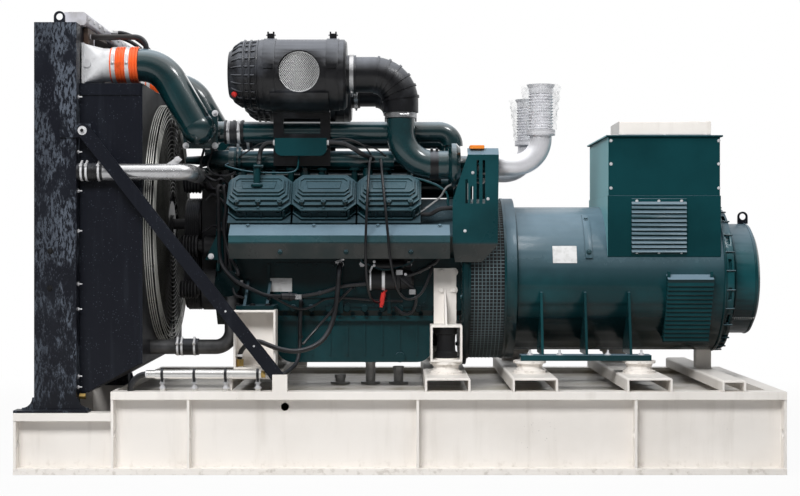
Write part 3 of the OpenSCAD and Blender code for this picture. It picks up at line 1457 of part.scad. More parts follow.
// Route of the rear sensor lead, which hangs lower before it rises to the crankcase
rear_lead_route = [
    [-110, -302, 1659], [-110, -340, 1659], [-105, -400, 1652], [-102, -455, 1628], [-98, -505, 1586],
    [-92, -552, 1525], [-84, -592, 1445], [-74, -618, 1350], [-64, -630, 1245], [-54, -630, 1140],
    [-38, -616, 1040], [-14, -582, 955], [24, -535, 905], [70, -490, 900], [116, -470, 932],
    [150, -452, 998], [172, -428, 1060], [178, -394, 1085], [178, -348, 1085]
];

function unit(v) = v / norm(v);
function heading(route, i) = unit(route[min(i + 1, len(route) - 1)] - route[max(i - 1, 0)]);
function turned_side(side, along) = unit(side - (side * along) * along);
function sides_along(route, i, side) = i == len(route) ? [] :
    let (next = turned_side(side, heading(route, i))) concat([next], sides_along(route, i + 1, next));

// Round tube swept along the points of a route
module swept_tube(route, d) {
    ring = 8;
    sides = sides_along(route, 0, [0.3, 0.2, 1]);
    points = [for (i = [0 : len(route) - 1], k = [0 : ring - 1])
        let (side = sides[i], up = cross(heading(route, i), side))
        route[i] + d / 2 * (cos(360 * k / ring) * side + sin(360 * k / ring) * up)];
    last = (len(route) - 1) * ring;
    walls = [for (i = [0 : len(route) - 2], k = [0 : ring - 1], half = [0, 1])
        let (a = i * ring + k, b = i * ring + (k + 1) % ring)
        half ? [a, a + ring, b + ring] : [a, b + ring, b]];
    polyhedron(points, concat(walls, [[for (k = [0 : ring - 1]) k], [for (k = [ring - 1 : -1 : 0]) last + k]]));
}

module oil_drain_hose() color(black) swept_tube(oil_hose_route, oil_hose_d);
module front_sensor_lead() color(black) swept_tube(front_lead_route, lead_d);
module rear_sensor_lead() color(black) swept_tube(rear_lead_route, lead_d);

near_side_rail();
far_side_rail();
cross_members();
fuel_tank();
tank_roof();
tank_fittings();
cross_channels();
rubber_mounts();
engine_brackets();
near_radiator_post();
far_radiator_post();
radiator_core();
radiator_tanks();
header_tank();
lifting_eyes();
radiator_braces();
fan_shroud();
shroud_face();
guard_drum();
guard_face();
fan();
fan_drive();
fan_belts();
charge_air_ducts();
charge_air_hoses();
charge_air_elbows();
charge_air_pipes();
coolant_hoses();
coolant_pipes();
crankcase();
oil_sump();
front_cover();
cylinder_heads();
rocker_covers();
coolant_manifold();
heat_shields();
turbochargers();
exhaust_elbows();
exhaust_bellows();
exhaust_outlets();
air_cleaners();
intake_hoses();
intake_elbows();
cleaner_brackets();
junction_box();
flywheel_housing();
coupling_guard();
alternator_frame();
alternator_feet();
alternator_end_bell();
terminal_box();
terminal_box_cover();
terminal_top_box();
louvre_panels();
drain_tube();
oil_drain_hose();
front_sensor_lead();
rear_sensor_lead();
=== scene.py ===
"""Dresses the open diesel generating set: finishes, fasteners, hoses, wiring, light and camera."""

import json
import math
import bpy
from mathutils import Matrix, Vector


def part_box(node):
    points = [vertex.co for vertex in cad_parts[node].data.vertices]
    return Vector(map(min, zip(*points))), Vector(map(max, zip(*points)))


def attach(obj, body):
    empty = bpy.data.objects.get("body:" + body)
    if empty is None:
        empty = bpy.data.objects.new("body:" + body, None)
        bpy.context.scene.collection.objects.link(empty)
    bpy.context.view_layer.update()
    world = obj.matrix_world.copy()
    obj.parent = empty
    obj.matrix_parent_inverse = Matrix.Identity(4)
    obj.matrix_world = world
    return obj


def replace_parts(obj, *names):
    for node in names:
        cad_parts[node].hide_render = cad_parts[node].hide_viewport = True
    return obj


bl_info = {
    "name": "Diesel Generating Set",
    "version": (1, 0, 0),
    "blender": (4, 5, 0),
    "location": "View3D > Sidebar > Genset",
    "description": "Dresses the packed generating set with finishes, fittings, wiring and a stage",
    "category": "Object",
}

import bmesh
import bpy
from bpy.props import FloatProperty, FloatVectorProperty, PointerProperty
from mathutils import Matrix, Vector
from mathutils.bvhtree import BVHTree

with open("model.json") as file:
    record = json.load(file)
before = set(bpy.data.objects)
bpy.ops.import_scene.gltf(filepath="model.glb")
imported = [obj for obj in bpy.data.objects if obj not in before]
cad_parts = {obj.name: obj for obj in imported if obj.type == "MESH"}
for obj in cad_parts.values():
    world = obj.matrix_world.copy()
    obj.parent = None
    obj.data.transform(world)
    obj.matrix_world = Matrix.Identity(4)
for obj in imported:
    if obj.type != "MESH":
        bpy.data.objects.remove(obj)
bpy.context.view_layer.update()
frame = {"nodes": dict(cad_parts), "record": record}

X = Vector((1, 0, 0))
Y = Vector((0, 1, 0))
Z = Vector((0, 0, 1))
HANDS = (-1, 1)  # near side and far side
CRANK_Z = 1.0  # height of the crankshaft, which the alternator shares
FAN_Z = 1.31  # height of the fan's spindle

# Routes of the free lines, from the port where each leaves the engine
OIL_HOSE = [
    (-0.324, -0.36, 1.085), (-0.324, -0.388, 1.085), (-0.325, -0.438, 1.071), (-0.328, -0.474, 1.035),
    (-0.332, -0.488, 0.985), (-0.338, -0.49, 0.92), (-0.346, -0.492, 0.85), (-0.36, -0.5, 0.785),
    (-0.385, -0.522, 0.722), (-0.425, -0.558, 0.672), (-0.485, -0.6, 0.64), (-0.555, -0.632, 0.628),
    (-0.625, -0.648, 0.638), (-0.69, -0.645, 0.66), (-0.745, -0.626, 0.678), (-0.8, -0.602, 0.668),
    (-0.837, -0.583, 0.636), (-0.852, -0.575, 0.604), (-0.852, -0.575, 0.574),
]
FRONT_LEAD = [
    (-0.16, -0.302, 1.659), (-0.16, -0.34, 1.659), (-0.16, -0.39, 1.662), (-0.162, -0.44, 1.648),
    (-0.165, -0.49, 1.612), (-0.168, -0.54, 1.552), (-0.172, -0.585, 1.47), (-0.176, -0.614, 1.375),
    (-0.18, -0.626, 1.27), (-0.182, -0.626, 1.17), (-0.18, -0.61, 1.07), (-0.174, -0.574, 0.98),
    (-0.16, -0.52, 0.912), (-0.136, -0.45, 0.88), (-0.095, -0.38, 0.88), (-0.095, -0.348, 0.88),
]
REAR_LEAD = [
    (-0.11, -0.302, 1.659), (-0.11, -0.34, 1.659), (-0.105, -0.4, 1.652), (-0.102, -0.455, 1.628),
    (-0.098, -0.505, 1.586), (-0.092, -0.552, 1.525), (-0.084, -0.592, 1.445), (-0.074, -0.618, 1.35),
    (-0.064, -0.63, 1.245), (-0.054, -0.63, 1.14), (-0.038, -0.616, 1.04), (-0.014, -0.582, 0.955),
    (0.024, -0.535, 0.905), (0.07, -0.49, 0.9), (0.116, -0.47, 0.932), (0.15, -0.452, 0.998),
    (0.172, -0.428, 1.06), (0.178, -0.394, 1.085), (0.178, -0.348, 1.085),
]


def colour(name, text, default):
    """A colour that the user can change."""
    return FloatVectorProperty(
        name=name, description=text, default=default, size=3, min=0.0, max=1.0, subtype="COLOR"
    )


def length(name, text, default):
    """A length in metres that the user can change."""
    return FloatProperty(name=name, description=text, default=default, min=0.0, unit="LENGTH")


def power(name, text, default):
    """A lamp's power that the user can change."""
    return FloatProperty(name=name, description=text, default=default, min=0, unit="POWER")


class GensetPaint(bpy.types.PropertyGroup):
    """Colours of the paints, rubbers and metals."""

    engine: colour("Engine", "Dark green of engine and alternator", (0.0035, 0.03, 0.035))
    # The engine's dust colour also stands for painted sheen: the pale blue-grey that light from above gives
    # upper faces
    engine_dust_and_sheen: colour("Engine dust", "Dust that settles on the engine's upper faces", (0.17, 0.25, 0.31))
    cream: colour("Base frame", "Cream paint of the base frame", (0.87, 0.83, 0.785))
    cream_grime: colour("Base grime", "Grime on the base frame", (0.33, 0.28, 0.22))
    navy: colour("Radiator", "Blue-black paint of the radiator", (0.0065, 0.0075, 0.0115))
    navy_dust: colour("Radiator dust", "Dried splashes on the radiator", (0.08, 0.094, 0.118))
    orange: colour("Silicone", "Orange of the silicone hoses", (0.8, 0.115, 0.022))
    rubber: colour("Rubber", "Black of hoses and mounts", (0.008, 0.008, 0.009))
    steel: colour("Steel", "Bright steel pipes and clamps", (0.68, 0.68, 0.69))
    casting: colour("Casting", "Cast aluminium of the ducts", (0.76, 0.765, 0.78))
    brass: colour("Brass", "Brass unions and plugs", (0.55, 0.38, 0.13))


class GensetCamera(bpy.types.PropertyGroup):
    """Where the camera stands and how long its lens is."""

    distance: length("Distance", "From the middle of the set to the camera", 8.284)
    height: length("Height", "Of the lens above the floor", 1.173)
    lens: FloatProperty(name="Lens", description="Focal length in mm", default=65.2, min=10, max=300)


class GensetLight(bpy.types.PropertyGroup):
    """Power of the lamps and of the sky."""

    overhead: power("Overhead", "Power of the lamp above", 75)
    front: power("Front", "Power of the lamp by the camera", 715)
    back: power("Back", "Power of the lamp behind", 60)
    sky: FloatProperty(name="Sky", description="Strength of the sky's light", default=0.12, min=0, max=5)


class GensetFitting(bpy.types.PropertyGroup):
    """Sizes that fasteners, clamps and edges share."""

    edge: length("Edge", "Width of the soft edge on sheet and castings", 0.003)
    bolt: length("Bolt", "Radius of a common bolt head", 0.011)
    clamp: length("Clamp", "Width of a hose clamp's band", 0.016)


class Value:
    """A shader number: Python's operators on it add Math nodes."""

    def __init__(self, nodes, socket):
        self.nodes = nodes
        self.socket = socket

    def maths(self, operation, *terms):
        node = self.nodes.node("ShaderNodeMath", {"operation": operation}, dict(enumerate(terms)))
        return Value(self.nodes, node.outputs[0])

    def __add__(self, other):
        return self.maths("ADD", self, other)

    def __sub__(self, other):
        return self.maths("SUBTRACT", self, other)

    def __rsub__(self, other):
        return self.maths("SUBTRACT", other, self)

    def __mul__(self, other):
        return self.maths("MULTIPLY", self, other)

    def __truediv__(self, other):
        return self.maths("DIVIDE", self, other)

    def __rtruediv__(self, other):
        return self.maths("DIVIDE", other, self)

    def __pow__(self, other):
        return self.maths("POWER", self, other)

    __radd__ = __add__
    __rmul__ = __mul__

    def ramp(self, low, high):
        """0 below low and 1 above high, smooth between."""
        inputs = {"Value": self, "From Min": low, "From Max": high}
        node = self.nodes.node("ShaderNodeMapRange", {"interpolation_type": "SMOOTHSTEP"}, inputs)
        return Value(self.nodes, node.outputs["Result"])


class Nodes:
    """A node tree, with the nodes that the finishes and the sky are made of."""

    def __init__(self, tree, coordinates):
        self.tree = tree
        tree.nodes.clear()
        self.place = self.node("ShaderNodeTexCoord", {}, {}).outputs[coordinates]

    def node(self, kind, settings, inputs):
        """A node of any kind: its settings are set first, then its sockets' values or links."""
        node = self.tree.nodes.new(kind)
        for key, value in settings.items():
            setattr(node, key, value)
        for key, value in inputs.items():
            self.feed(node.inputs[key], value)
        return node

    def feed(self, socket, value):
        if isinstance(value, Value):
            value = value.socket
        if isinstance(value, bpy.types.NodeSocket):
            self.tree.links.new(value, socket)
        elif socket.type == "RGBA" and len(value) == 3:
            socket.default_value = (*value, 1.0)
        else:
            socket.default_value = value

    def stretched(self, scale):
        """The coordinates, stretched along each axis."""
        inputs = {0: self.place, 1: scale}
        return self.node("ShaderNodeVectorMath", {"operation": "MULTIPLY"}, inputs).outputs[0]

    def noise(self, scale, detail=4.0, stretch=(1, 1, 1), roughness=0.55):
        place = self.stretched(stretch)
        inputs = {"Vector": place, "Scale": scale, "Detail": detail, "Roughness": roughness}
        return Value(self, self.node("ShaderNodeTexNoise", {}, inputs).outputs["Fac"])

    def cells(self, scale, stretch=(1, 1, 1)):
        inputs = {"Vector": self.stretched(stretch), "Scale": scale}
        return Value(self, self.node("ShaderNodeTexVoronoi", {}, inputs).outputs["Distance"])

    def axis(self, letter):
        """One coordinate, which is in metres on the object."""
        return Value(self, self.node("ShaderNodeSeparateXYZ", {}, {0: self.place}).outputs[letter])

    def facing(self, letter="Z"):
        """How far the surface's normal points along an axis, from -1 to 1."""
        normal = self.node("ShaderNodeNewGeometry", {}, {}).outputs["Normal"]
        return Value(self, self.node("ShaderNodeSeparateXYZ", {}, {0: normal}).outputs[letter])

    def mix(self, first, second, factor):
        """A colour between two, by a factor."""
        inputs = {0: factor, 6: first, 7: second}
        return self.node("ShaderNodeMix", {"data_type": "RGBA", "clamp_factor": True}, inputs).outputs[2]

    def blend(self, first, second, factor):
        """A shader between two, by a factor."""
        inputs = {0: factor, 1: first.outputs[0], 2: second.outputs[0]}
        return self.node("ShaderNodeMixShader", {}, inputs).outputs[0]


class Finish(Nodes):
    """One procedural material, built around a Principled shader."""

    def __init__(self, name, roughness=0.5, metallic=0.0):
        self.material = bpy.data.materials.new(f"finish_{name}")
        self.material.use_nodes = True
        super().__init__(self.material.node_tree, "Object")
        inputs = {"Roughness": roughness, "Metallic": metallic}
        self.shader = self.node("ShaderNodeBsdfPrincipled", {}, inputs)
        self.output = self.node("ShaderNodeOutputMaterial", {}, {"Surface": self.shader.outputs[0]})

    def bump(self, height, distance, strength=0.5):
        inputs = {"Height": height, "Distance": distance, "Strength": strength}
        self.feed(self.shader.inputs["Normal"], self.node("ShaderNodeBump", {}, inputs).outputs[0])

    def set(self, **sockets):
        """Feeds the shader's sockets, whose names are written with underscores."""
        for key, value in sockets.items():
            self.feed(self.shader.inputs[key.replace("_", " ")], value)


def shade(rgb, factor):
    """A colour made lighter or darker."""
    return tuple(min(1.0, channel * factor) for channel in rgb)


def smooth(points, steps=6):
    """A rounder line through the same points."""
    points = [Vector(point) for point in points]
    ends = [2 * points[0] - points[1], *points, 2 * points[-1] - points[-2]]
    line = []
    for before, start, stop, after in zip(ends, ends[1:], ends[2:], ends[3:]):
        for step in range(steps):
            t = step / steps
            line.append(0.5 * (
                2 * start + (stop - before) * t
                + (2 * before - 5 * start + 4 * stop - after) * t ** 2
                + (3 * start - before - 3 * stop + after) * t ** 3
            ))
    return [*line, points[-1]]


def across(axis):
    """Two directions square to an axis and to each other."""
    axis = Vector(axis).normalized()
    side = axis.cross(Z if abs(axis.z) < 0.9 else X).normalized()
    return side, axis.cross(side)


def circle(centre, side, up, radius, count, turn=0.0):
    """Points round a circle in the plane of two directions."""
    angles = [turn + 2 * math.pi * i / count for i in range(count)]
    return [centre + radius * (math.cos(a) * side + math.sin(a) * up) for a in angles]


def spokes(count, first=0.5):
    """Directions spread round the X axis; the first is a share of one step from the top."""
    angles = [2 * math.pi * (i + first) / count for i in range(count)]
    return [Vector((0, math.sin(a), math.cos(a))) for a in angles]


class Shape:
    """A mesh that grows part by part, in the frame's metres."""

    def __init__(self, sides=16):
        self.mesh = bmesh.new()
        self.sides = sides

    def rings(self, rings, closed=False):
        """Skins rings of points, one after the other; a ring of one point is a tip."""
        rings = [[self.mesh.verts.new(point) for point in ring] for ring in rings]
        pairs = list(zip(rings, rings[1:]))
        if closed:
            pairs.append((rings[-1], rings[0]))
        for low, high in pairs:
            count = max(len(low), len(high))
            for i in range(count):
                j = (i + 1) % count
                corners = [low[i % len(low)], low[j % len(low)], high[j % len(high)], high[i % len(high)]]
                self.mesh.faces.new(list(dict.fromkeys(corners)))
        return self

    def lathe(self, origin, axis, profile, sides=None, turn=0.0):
        """A turned form: profile holds pairs of distance along the axis and radius."""
        axis = Vector(axis).normalized()
        side, up = across(axis)
        rings = []
        for along, radius in profile:
            middle = Vector(origin) + along * axis
            rings.append(circle(middle, side, up, radius, sides or self.sides, turn) if radius else [middle])
        return self.rings(rings)

    def disc(self, origin, axis, radius, thick, sides=None):
        """A round plate or peg, open where it stands on something."""
        return self.lathe(origin, axis, [(0, radius), (thick, radius), (thick, 0)], sides)

    def rod(self, start, stop, radius, sides=None):
        start, stop = Vector(start), Vector(stop)
        run = (stop - start).length
        return self.lathe(start, stop - start, [(0, 0), (0, radius), (run, radius), (run, 0)], sides)

    def tube(self, points, radius, sides=None, closed=False):
        """A round bar along a line of points."""
        points = [Vector(point) for point in points]
        count = len(points)
        side = None
        rings = []
        for i, point in enumerate(points):
            after = points[(i + 1) % count] if closed or i + 1 < count else point
            before = points[i - 1] if closed or i else point
            heading = (after - before).normalized()
            if side is None:
                side = across(heading)[0]
            else:
                side = (side - side.dot(heading) * heading).normalized()
            rings.append(circle(point, side, heading.cross(side), radius, sides or self.sides))
        if not closed:
            rings = [[points[0]], *rings, [points[-1]]]
        return self.rings(rings, closed)

    def ring(self, centre, axis, radius, wire, count=48, sides=6):
        """A round wire bent into a circle."""
        side, up = across(axis)
        return self.tube(circle(Vector(centre), side, up, radius, count), wire, sides, closed=True)

    def block(self, low, high):
        low, high = Vector(low), Vector(high)
        verts = bmesh.ops.create_cube(self.mesh, size=1)["verts"]
        place = Matrix.LocRotScale((low + high) / 2, None, high - low)
        bmesh.ops.transform(self.mesh, matrix=place, verts=verts)
        return self

    def plate(self, corners, depth):
        """A flat outline, thickened along a direction."""
        front = [self.mesh.verts.new(corner) for corner in corners]
        back = [self.mesh.verts.new(Vector(corner) + Vector(depth)) for corner in corners]
        self.mesh.faces.new(front)
        self.mesh.faces.new(back[::-1])
        for i, j in zip(range(len(front)), [*range(1, len(front)), 0]):
            self.mesh.faces.new([front[j], front[i], back[i], back[j]])
        return self

    def band(self, centre, axis, radius, width, thickness=0.0016):
        """A flat strap round a hose or body."""
        half, outer = width / 2, radius + thickness
        section = [(-half, radius), (-half, outer), (half, outer), (half, radius)]
        return self.lathe(centre, axis, section, 32)

    def clamp(self, centre, axis, radius, width, towards):
        """A hose clamp, with its screw housing on the side that it is turned towards."""
        centre, axis, towards = Vector(centre), Vector(axis).normalized(), Vector(towards).normalized()
        self.band(centre, axis, radius, width)
        for edge in (-0.42, 0.42):
            self.band(centre + edge * width * axis, axis, radius + 0.001, 0.15 * width, 0.0015)
        screw, screw_head, back, front = 0.0062, 0.0085, 0.024, 0.017
        tangent = axis.cross(towards)
        seat = centre + (radius + 0.006) * towards
        self.rod(seat - back * tangent, seat + front * tangent, screw, 8)
        self.rod(seat + front * tangent, seat + (front + 0.01) * tangent, screw_head, 6)
        return self

    def bolt(self, place, axis, radius, washer=1.45, stud=0.0):
        """A hexagon head on a washer, with the end of a stud where one shows."""
        head, thin = 0.62 * radius, 0.22 * radius
        axis = Vector(axis).normalized()
        self.disc(place, axis, washer * radius, thin, 14)
        top = thin + head
        profile = [(thin, radius), (thin + 0.8 * head, radius), (top, 0.86 * radius), (top, 0)]
        self.lathe(place, axis, profile, 6, 0.4)
        if stud:
            end = Vector(place) + top * axis
            self.rod(end, end + stud * axis, 0.5 * radius, 8)
        return self

    def done(self, name, finish, slot=None, body="root", bevel=0.0, crease=35.0):
        """Turns the mesh into a piece that rides on a body."""
        bmesh.ops.recalc_face_normals(self.mesh, faces=self.mesh.faces)
        data = bpy.data.meshes.new(name)
        self.mesh.to_mesh(data)
        self.mesh.free()
        data.shade_smooth()
        data.set_sharp_from_angle(angle=math.radians(crease))
        piece = bpy.data.objects.new(name, data)
        bpy.context.scene.collection.objects.link(piece)
        data.materials.append(bpy.data.materials[f"finish_{finish}"])
        if bevel:
            soften(piece, bevel)
        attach(piece, body)
        return piece


def soften(piece, width):
    """Rounds the sharp edges of a piece in the picture."""
    weld = piece.modifiers.new("Weld", "WELD")
    weld.merge_threshold = 0.00005
    bevel = piece.modifiers.new("Edges", "BEVEL")
    bevel.width = width
    bevel.segments = 2
    bevel.limit_method = "ANGLE"
    bevel.angle_limit = math.radians(40)
    bevel.harden_normals = True


def dust_and_sheen(finish, low=0.25, high=1.0):
    """Where dust lies, which also stands for painted sheen of the light from above: faces that look up, in
    uneven patches.
    """
    return finish.facing("Z").ramp(low, high) * (0.72 + 0.5 * finish.noise(9, 6))


def dust_and_sheen_on_barrel(finish):
    """Dust, which also stands for painted sheen, lighter towards the alternator's top: by height, so that
    the flats of its mesh don't show.
    """
    return finish.axis("Z").ramp(0.93, 1.46) * (0.72 + 0.5 * finish.noise(9, 6))


def green(finish, paint, low, high):
    """Engine green, faded unevenly between two tones."""
    patches = finish.noise(2.2, 6).ramp(0.38, 0.68)
    return finish.mix(shade(paint.engine, low), shade(paint.engine, high), patches)


def engine_paint(paint, name="engine_paint", share=1.0, tone=1.0, lie=dust_and_sheen):
    """Dark green enamel under a film of pale dust that also stands for painted sheen on upward faces, of
    which some castings keep only a share; faces that look down get painted shade, a tone below 1 makes a
    shaded copy of the green, painted shade, and a tone above 1 a lit copy, painted light.
    """
    f = Finish(name)
    # Dust, and painted sheen of the light from above
    dust = lie(f) * share
    specks = f.noise(160, 3).ramp(0.6, 0.7) * f.noise(5, 3).ramp(0.35, 0.65)
    # Painted shade: faces that look down are darkened towards a third of the green
    shadow = 1 - f.facing().ramp(-0.6, -0.1)
    under = f.mix(green(f, paint, tone, 1.7 * tone), shade(paint.engine, 0.3), shadow)
    dusty = f.mix(under, paint.engine_dust_and_sheen, dust)
    f.bump(f.noise(220, 2), 0.0006, 0.25)
    f.set(
        Base_Color=f.mix(dusty, shade(paint.engine_dust_and_sheen, 1.2), specks * 0.04),
        Roughness=0.17 + 0.25 * dust + 0.08 * f.noise(30, 3),
        Coat_Weight=0.12,
        Coat_Roughness=0.15,
        Specular_IOR_Level=0.25,
    )


def shield_paint(paint):
    """Engine green on the shields, scorched to grey-brown on the exhaust shield's lower face."""
    f = Finish("shield_paint")
    # Dust, and painted sheen of the light from above
    dust = dust_and_sheen(f) * 1.1
    scorch = 1 - f.axis("Z").ramp(1.19, 1.206)
    mottle = f.noise(5, 6).ramp(0.35, 0.68)
    burnt = f.mix((0.04, 0.042, 0.04), (0.018, 0.026, 0.026), mottle)
    dusty = f.mix(f.mix(green(f, paint, 1.0, 1.7), burnt, scorch), paint.engine_dust_and_sheen, dust)
    grit = f.noise(150, 3).ramp(0.62, 0.7)
    f.bump(f.noise(120, 3), 0.0006, 0.25)
    f.set(
        Base_Color=f.mix(dusty, (0.005, 0.006, 0.006), grit * 0.3),
        Roughness=0.24 + 0.2 * dust + 0.1 * mottle,
        Specular_IOR_Level=0.3,
    )


def box_paint(paint):
    """The terminal box: clean green, with a painted reflection that makes the side looking to the radiator
    paler.
    """
    f = Finish("box_paint", roughness=0.45)
    # Painted reflection: faces that look towards the radiator are lightened to a pale teal
    side = f.facing("X").ramp(-0.5, -0.9)
    clean = f.mix(green(f, paint, 1.05, 1.5), (0.2, 0.44, 0.48), side)
    f.bump(f.noise(220, 2), 0.0006, 0.25)
    # Dust, and painted sheen of the light from above
    f.set(Base_Color=f.mix(clean, paint.engine_dust_and_sheen, dust_and_sheen(f)), Specular_IOR_Level=0.08)


def mount_rubber(paint):
    """Rubber mounts whose lower cups are painted with the base."""
    f = Finish("mount_rubber")
    cup = 1 - f.axis("Z").ramp(0.582, 0.586)
    soot = f.noise(30, 5).ramp(0.5, 0.7) * 0.4
    cream = f.mix(paint.cream, paint.cream_grime, soot)
    f.set(Base_Color=f.mix(paint.rubber, cream, cup), Specular_IOR_Level=0.3)


def pipe_paint(paint):
    """The same green on pipes and elbows, wiped clean and glossy."""
    f = Finish("pipe_paint")
    # Dust, and painted sheen of the light from above
    dust = dust_and_sheen(f, 0.45, 1.0) * 0.8
    worn = f.mix(shade(paint.engine, 0.45), shade(paint.engine, 0.95), f.noise(3.5, 5).ramp(0.3, 0.7))
    f.bump(f.noise(90, 3), 0.0008, 0.2)
    f.set(
        Base_Color=f.mix(worn, paint.engine_dust_and_sheen, dust),
        Roughness=0.17 + 0.2 * dust + 0.06 * f.noise(20, 4),
        Coat_Weight=1.0,
        Coat_Roughness=0.14,
        Specular_IOR_Level=0.5,
    )


def frame_paint(paint):
    """Cream paint, dirty in streaks, splashed low down and chipped in places."""
    f = Finish("frame_paint")
    streaks = f.noise(14, 6, (1, 1, 0.12)).ramp(0.5, 0.78) * 0.16
    film = f.noise(2.0, 6).ramp(0.42, 0.75) * 0.14
    splash = (1 - f.axis("Z").ramp(0.0, 0.09)) * f.noise(26, 5).ramp(0.52, 0.7) * 0.4
    chips = f.cells(34, (1, 1, 1.6)).ramp(0.1, 0.05) * f.noise(1.7, 4).ramp(0.6, 0.68)
    dirty = f.mix(paint.cream, paint.cream_grime, streaks + film + splash)
    f.bump(f.noise(120, 2), 0.0005, 0.2)
    f.set(
        Base_Color=f.mix(dirty, (0.05, 0.045, 0.04), chips * 0.8),
        Roughness=0.36 + 0.25 * f.noise(8, 4),
        Coat_Weight=0.12,
    )


def tank_plate(paint):
    """Cream tank roof, darkened as painted shade within the frame, stained and still wet in places."""
    f = Finish("tank_plate")
    stain = f.noise(3.2, 7, (1, 2, 1)).ramp(0.4, 0.66)
    # Painted shade: the roof's cream is darkened to four fifths; the brown patches are stains
    base = f.mix(shade(paint.cream, 0.8), (0.36, 0.32, 0.24), stain)
    f.set(
        Base_Color=f.mix(base, paint.cream_grime, f.noise(30, 5).ramp(0.58, 0.72) * 0.5),
        Roughness=0.55 - 0.25 * stain,
        Specular_IOR_Level=0.3,
    )


def post_paint(paint):
    """Blue-black radiator posts under dried, streaky splashes."""
    f = Finish("post_paint")
    drips = f.noise(85, 7, (1, 1, 0.3), 0.7).ramp(0.46, 0.53)
    lumps = f.noise(8, 8, (1, 1, 0.45), 0.7).ramp(0.46, 0.54)
    film = f.noise(3.2, 5, (1, 1, 0.6)).ramp(0.42, 0.62)
    crumbs = f.cells(120, (1, 1, 0.45)).ramp(0.3, 0.16) * f.noise(8, 4).ramp(0.47, 0.57)
    side = 0.6 + 0.4 * f.axis("X").ramp(-1.84, -1.74)
    dirt = drips * lumps * side + film * 0.05 + crumbs * 0.4
    f.bump(dirt, 0.003, 0.5)
    f.set(
        Base_Color=f.mix(paint.navy, paint.navy_dust, dirt),
        Roughness=0.34 + 0.4 * dirt,
        Specular_IOR_Level=0.3,
    )


def radiator_paint(paint):
    """Blue-black sheet of shroud, braces and tanks, only lightly dusted."""
    f = Finish("radiator_paint")
    haze = f.noise(2.6, 6, (1, 1, 0.35)).ramp(0.4, 0.72)
    runs = f.noise(30, 6, (1, 1, 0.06)).ramp(0.52, 0.7)
    specks = f.cells(70).ramp(0.2, 0.1) * f.noise(9, 4).ramp(0.42, 0.54)
    dirt = haze * 0.05 + runs * 0.05 + specks * 0.6 + f.facing().ramp(0.4, 1.0) * 0.3
    f.bump(f.noise(40, 3), 0.0008, 0.2)
    f.set(
        Base_Color=f.mix(paint.navy, paint.navy_dust, dirt),
        Roughness=0.3 + 0.2 * f.noise(6, 4),
        Specular_IOR_Level=0.22,
    )


def header_paint(paint):
    """Pale aluminium of the header tank under a dull film, and its dark outlet stub."""
    f = Finish("header_paint", metallic=0.15)
    film = f.noise(7, 6).ramp(0.4, 0.7)
    stub = f.axis("X").ramp(-1.649, -1.6475)
    pale = f.mix((0.62, 0.62, 0.68), (0.4, 0.39, 0.4), film)
    f.set(Base_Color=f.mix(pale, (0.02, 0.018, 0.018), stub), Roughness=0.38 + 0.2 * film)


def metal(name, colour, roughness, stain, depth, metallic=0.9, scale=24.0, stretch=(1, 1, 1)):
    """Bare metal: brushed, stained in patches and a little pitted."""
    f = Finish(name, metallic=metallic)
    patch = f.noise(scale / 4, 6).ramp(0.38, 0.72)
    brush = f.noise(scale * 5, 4, stretch)
    f.bump(brush, depth, 0.3)
    f.set(
        Base_Color=f.mix(colour, stain, patch * 0.6 + brush * 0.25),
        Roughness=roughness + 0.22 * patch + 0.1 * brush,
    )


def pipe_steel(paint):
    """Coolant pipes: polished above, darker and mottled on the low pipe."""
    f = Finish("pipe_steel", metallic=0.85)
    patch = f.noise(7, 6).ramp(0.35, 0.7)
    low = 1 - f.axis("Z").ramp(1.1, 1.2)
    bright = f.mix(paint.steel, shade(paint.steel, 0.5), patch * 0.5)
    f.bump(f.noise(60, 4), 0.0006, 0.3)
    f.set(
        Base_Color=f.mix(bright, f.mix((0.1, 0.1, 0.105), (0.03, 0.03, 0.03), patch), low * 0.9),
        Roughness=0.2 + 0.2 * patch + 0.15 * low,
    )


def black_stuff(name, colour, dust, roughness, depth, amount=0.5, scale=70.0):
    """Rubber and moulded plastic: dull, grained, dusty where it looks up, which also stands for painted
    sheen there.
    """
    f = Finish(name)
    film = dust_and_sheen(f, 0.1, 1.0) * amount + f.noise(6, 6).ramp(0.5, 0.75) * amount * 0.3
    f.bump(f.noise(scale, 3), depth, 0.35)
    f.set(
        Base_Color=f.mix(colour, dust, film),
        Roughness=roughness + 0.2 * film + 0.1 * f.noise(25, 3),
        Coat_Weight=0.08,
    )


def core_fins(paint):
    """Radiator core: rows of thin fins between tubes."""
    f = Finish("core", metallic=0.4)
    rows = (f.axis("Z") * 700).maths("SINE")
    tubes = (f.axis("Y") * 520).maths("SINE")
    f.bump(rows + tubes * 0.6, 0.002, 0.8)
    fins = f.mix((0.02, 0.02, 0.022), (0.09, 0.09, 0.09), (rows * 0.5 + 0.5) * 0.7)
    f.set(
        Base_Color=f.mix(fins, paint.navy_dust, f.noise(4, 6).ramp(0.5, 0.8) * 0.25),
        Roughness=0.5 + 0.2 * f.noise(12, 3),
    )


def silicone(paint):
    """Orange silicone hose, moulded in plies."""
    f = Finish("silicone")
    film = f.noise(18, 5).ramp(0.5, 0.8)
    f.bump((f.axis("X") * 420).maths("SINE"), 0.0012, 0.25)
    f.set(
        Base_Color=f.mix(paint.orange, shade(paint.orange, 0.55), film),
        Roughness=0.42 + 0.2 * film,
        Coat_Weight=0.2,
    )


def plain(name, colour, second, roughness=0.5, scale=12.0, coat=0.1):
    """A small painted or moulded piece, a little uneven in tone."""
    f = Finish(name)
    tone = f.noise(scale, 5).ramp(0.4, 0.7)
    f.bump(f.noise(scale * 8, 2), 0.0004, 0.2)
    f.set(Base_Color=f.mix(colour, second, tone), Roughness=roughness + 0.15 * tone, Coat_Weight=coat)


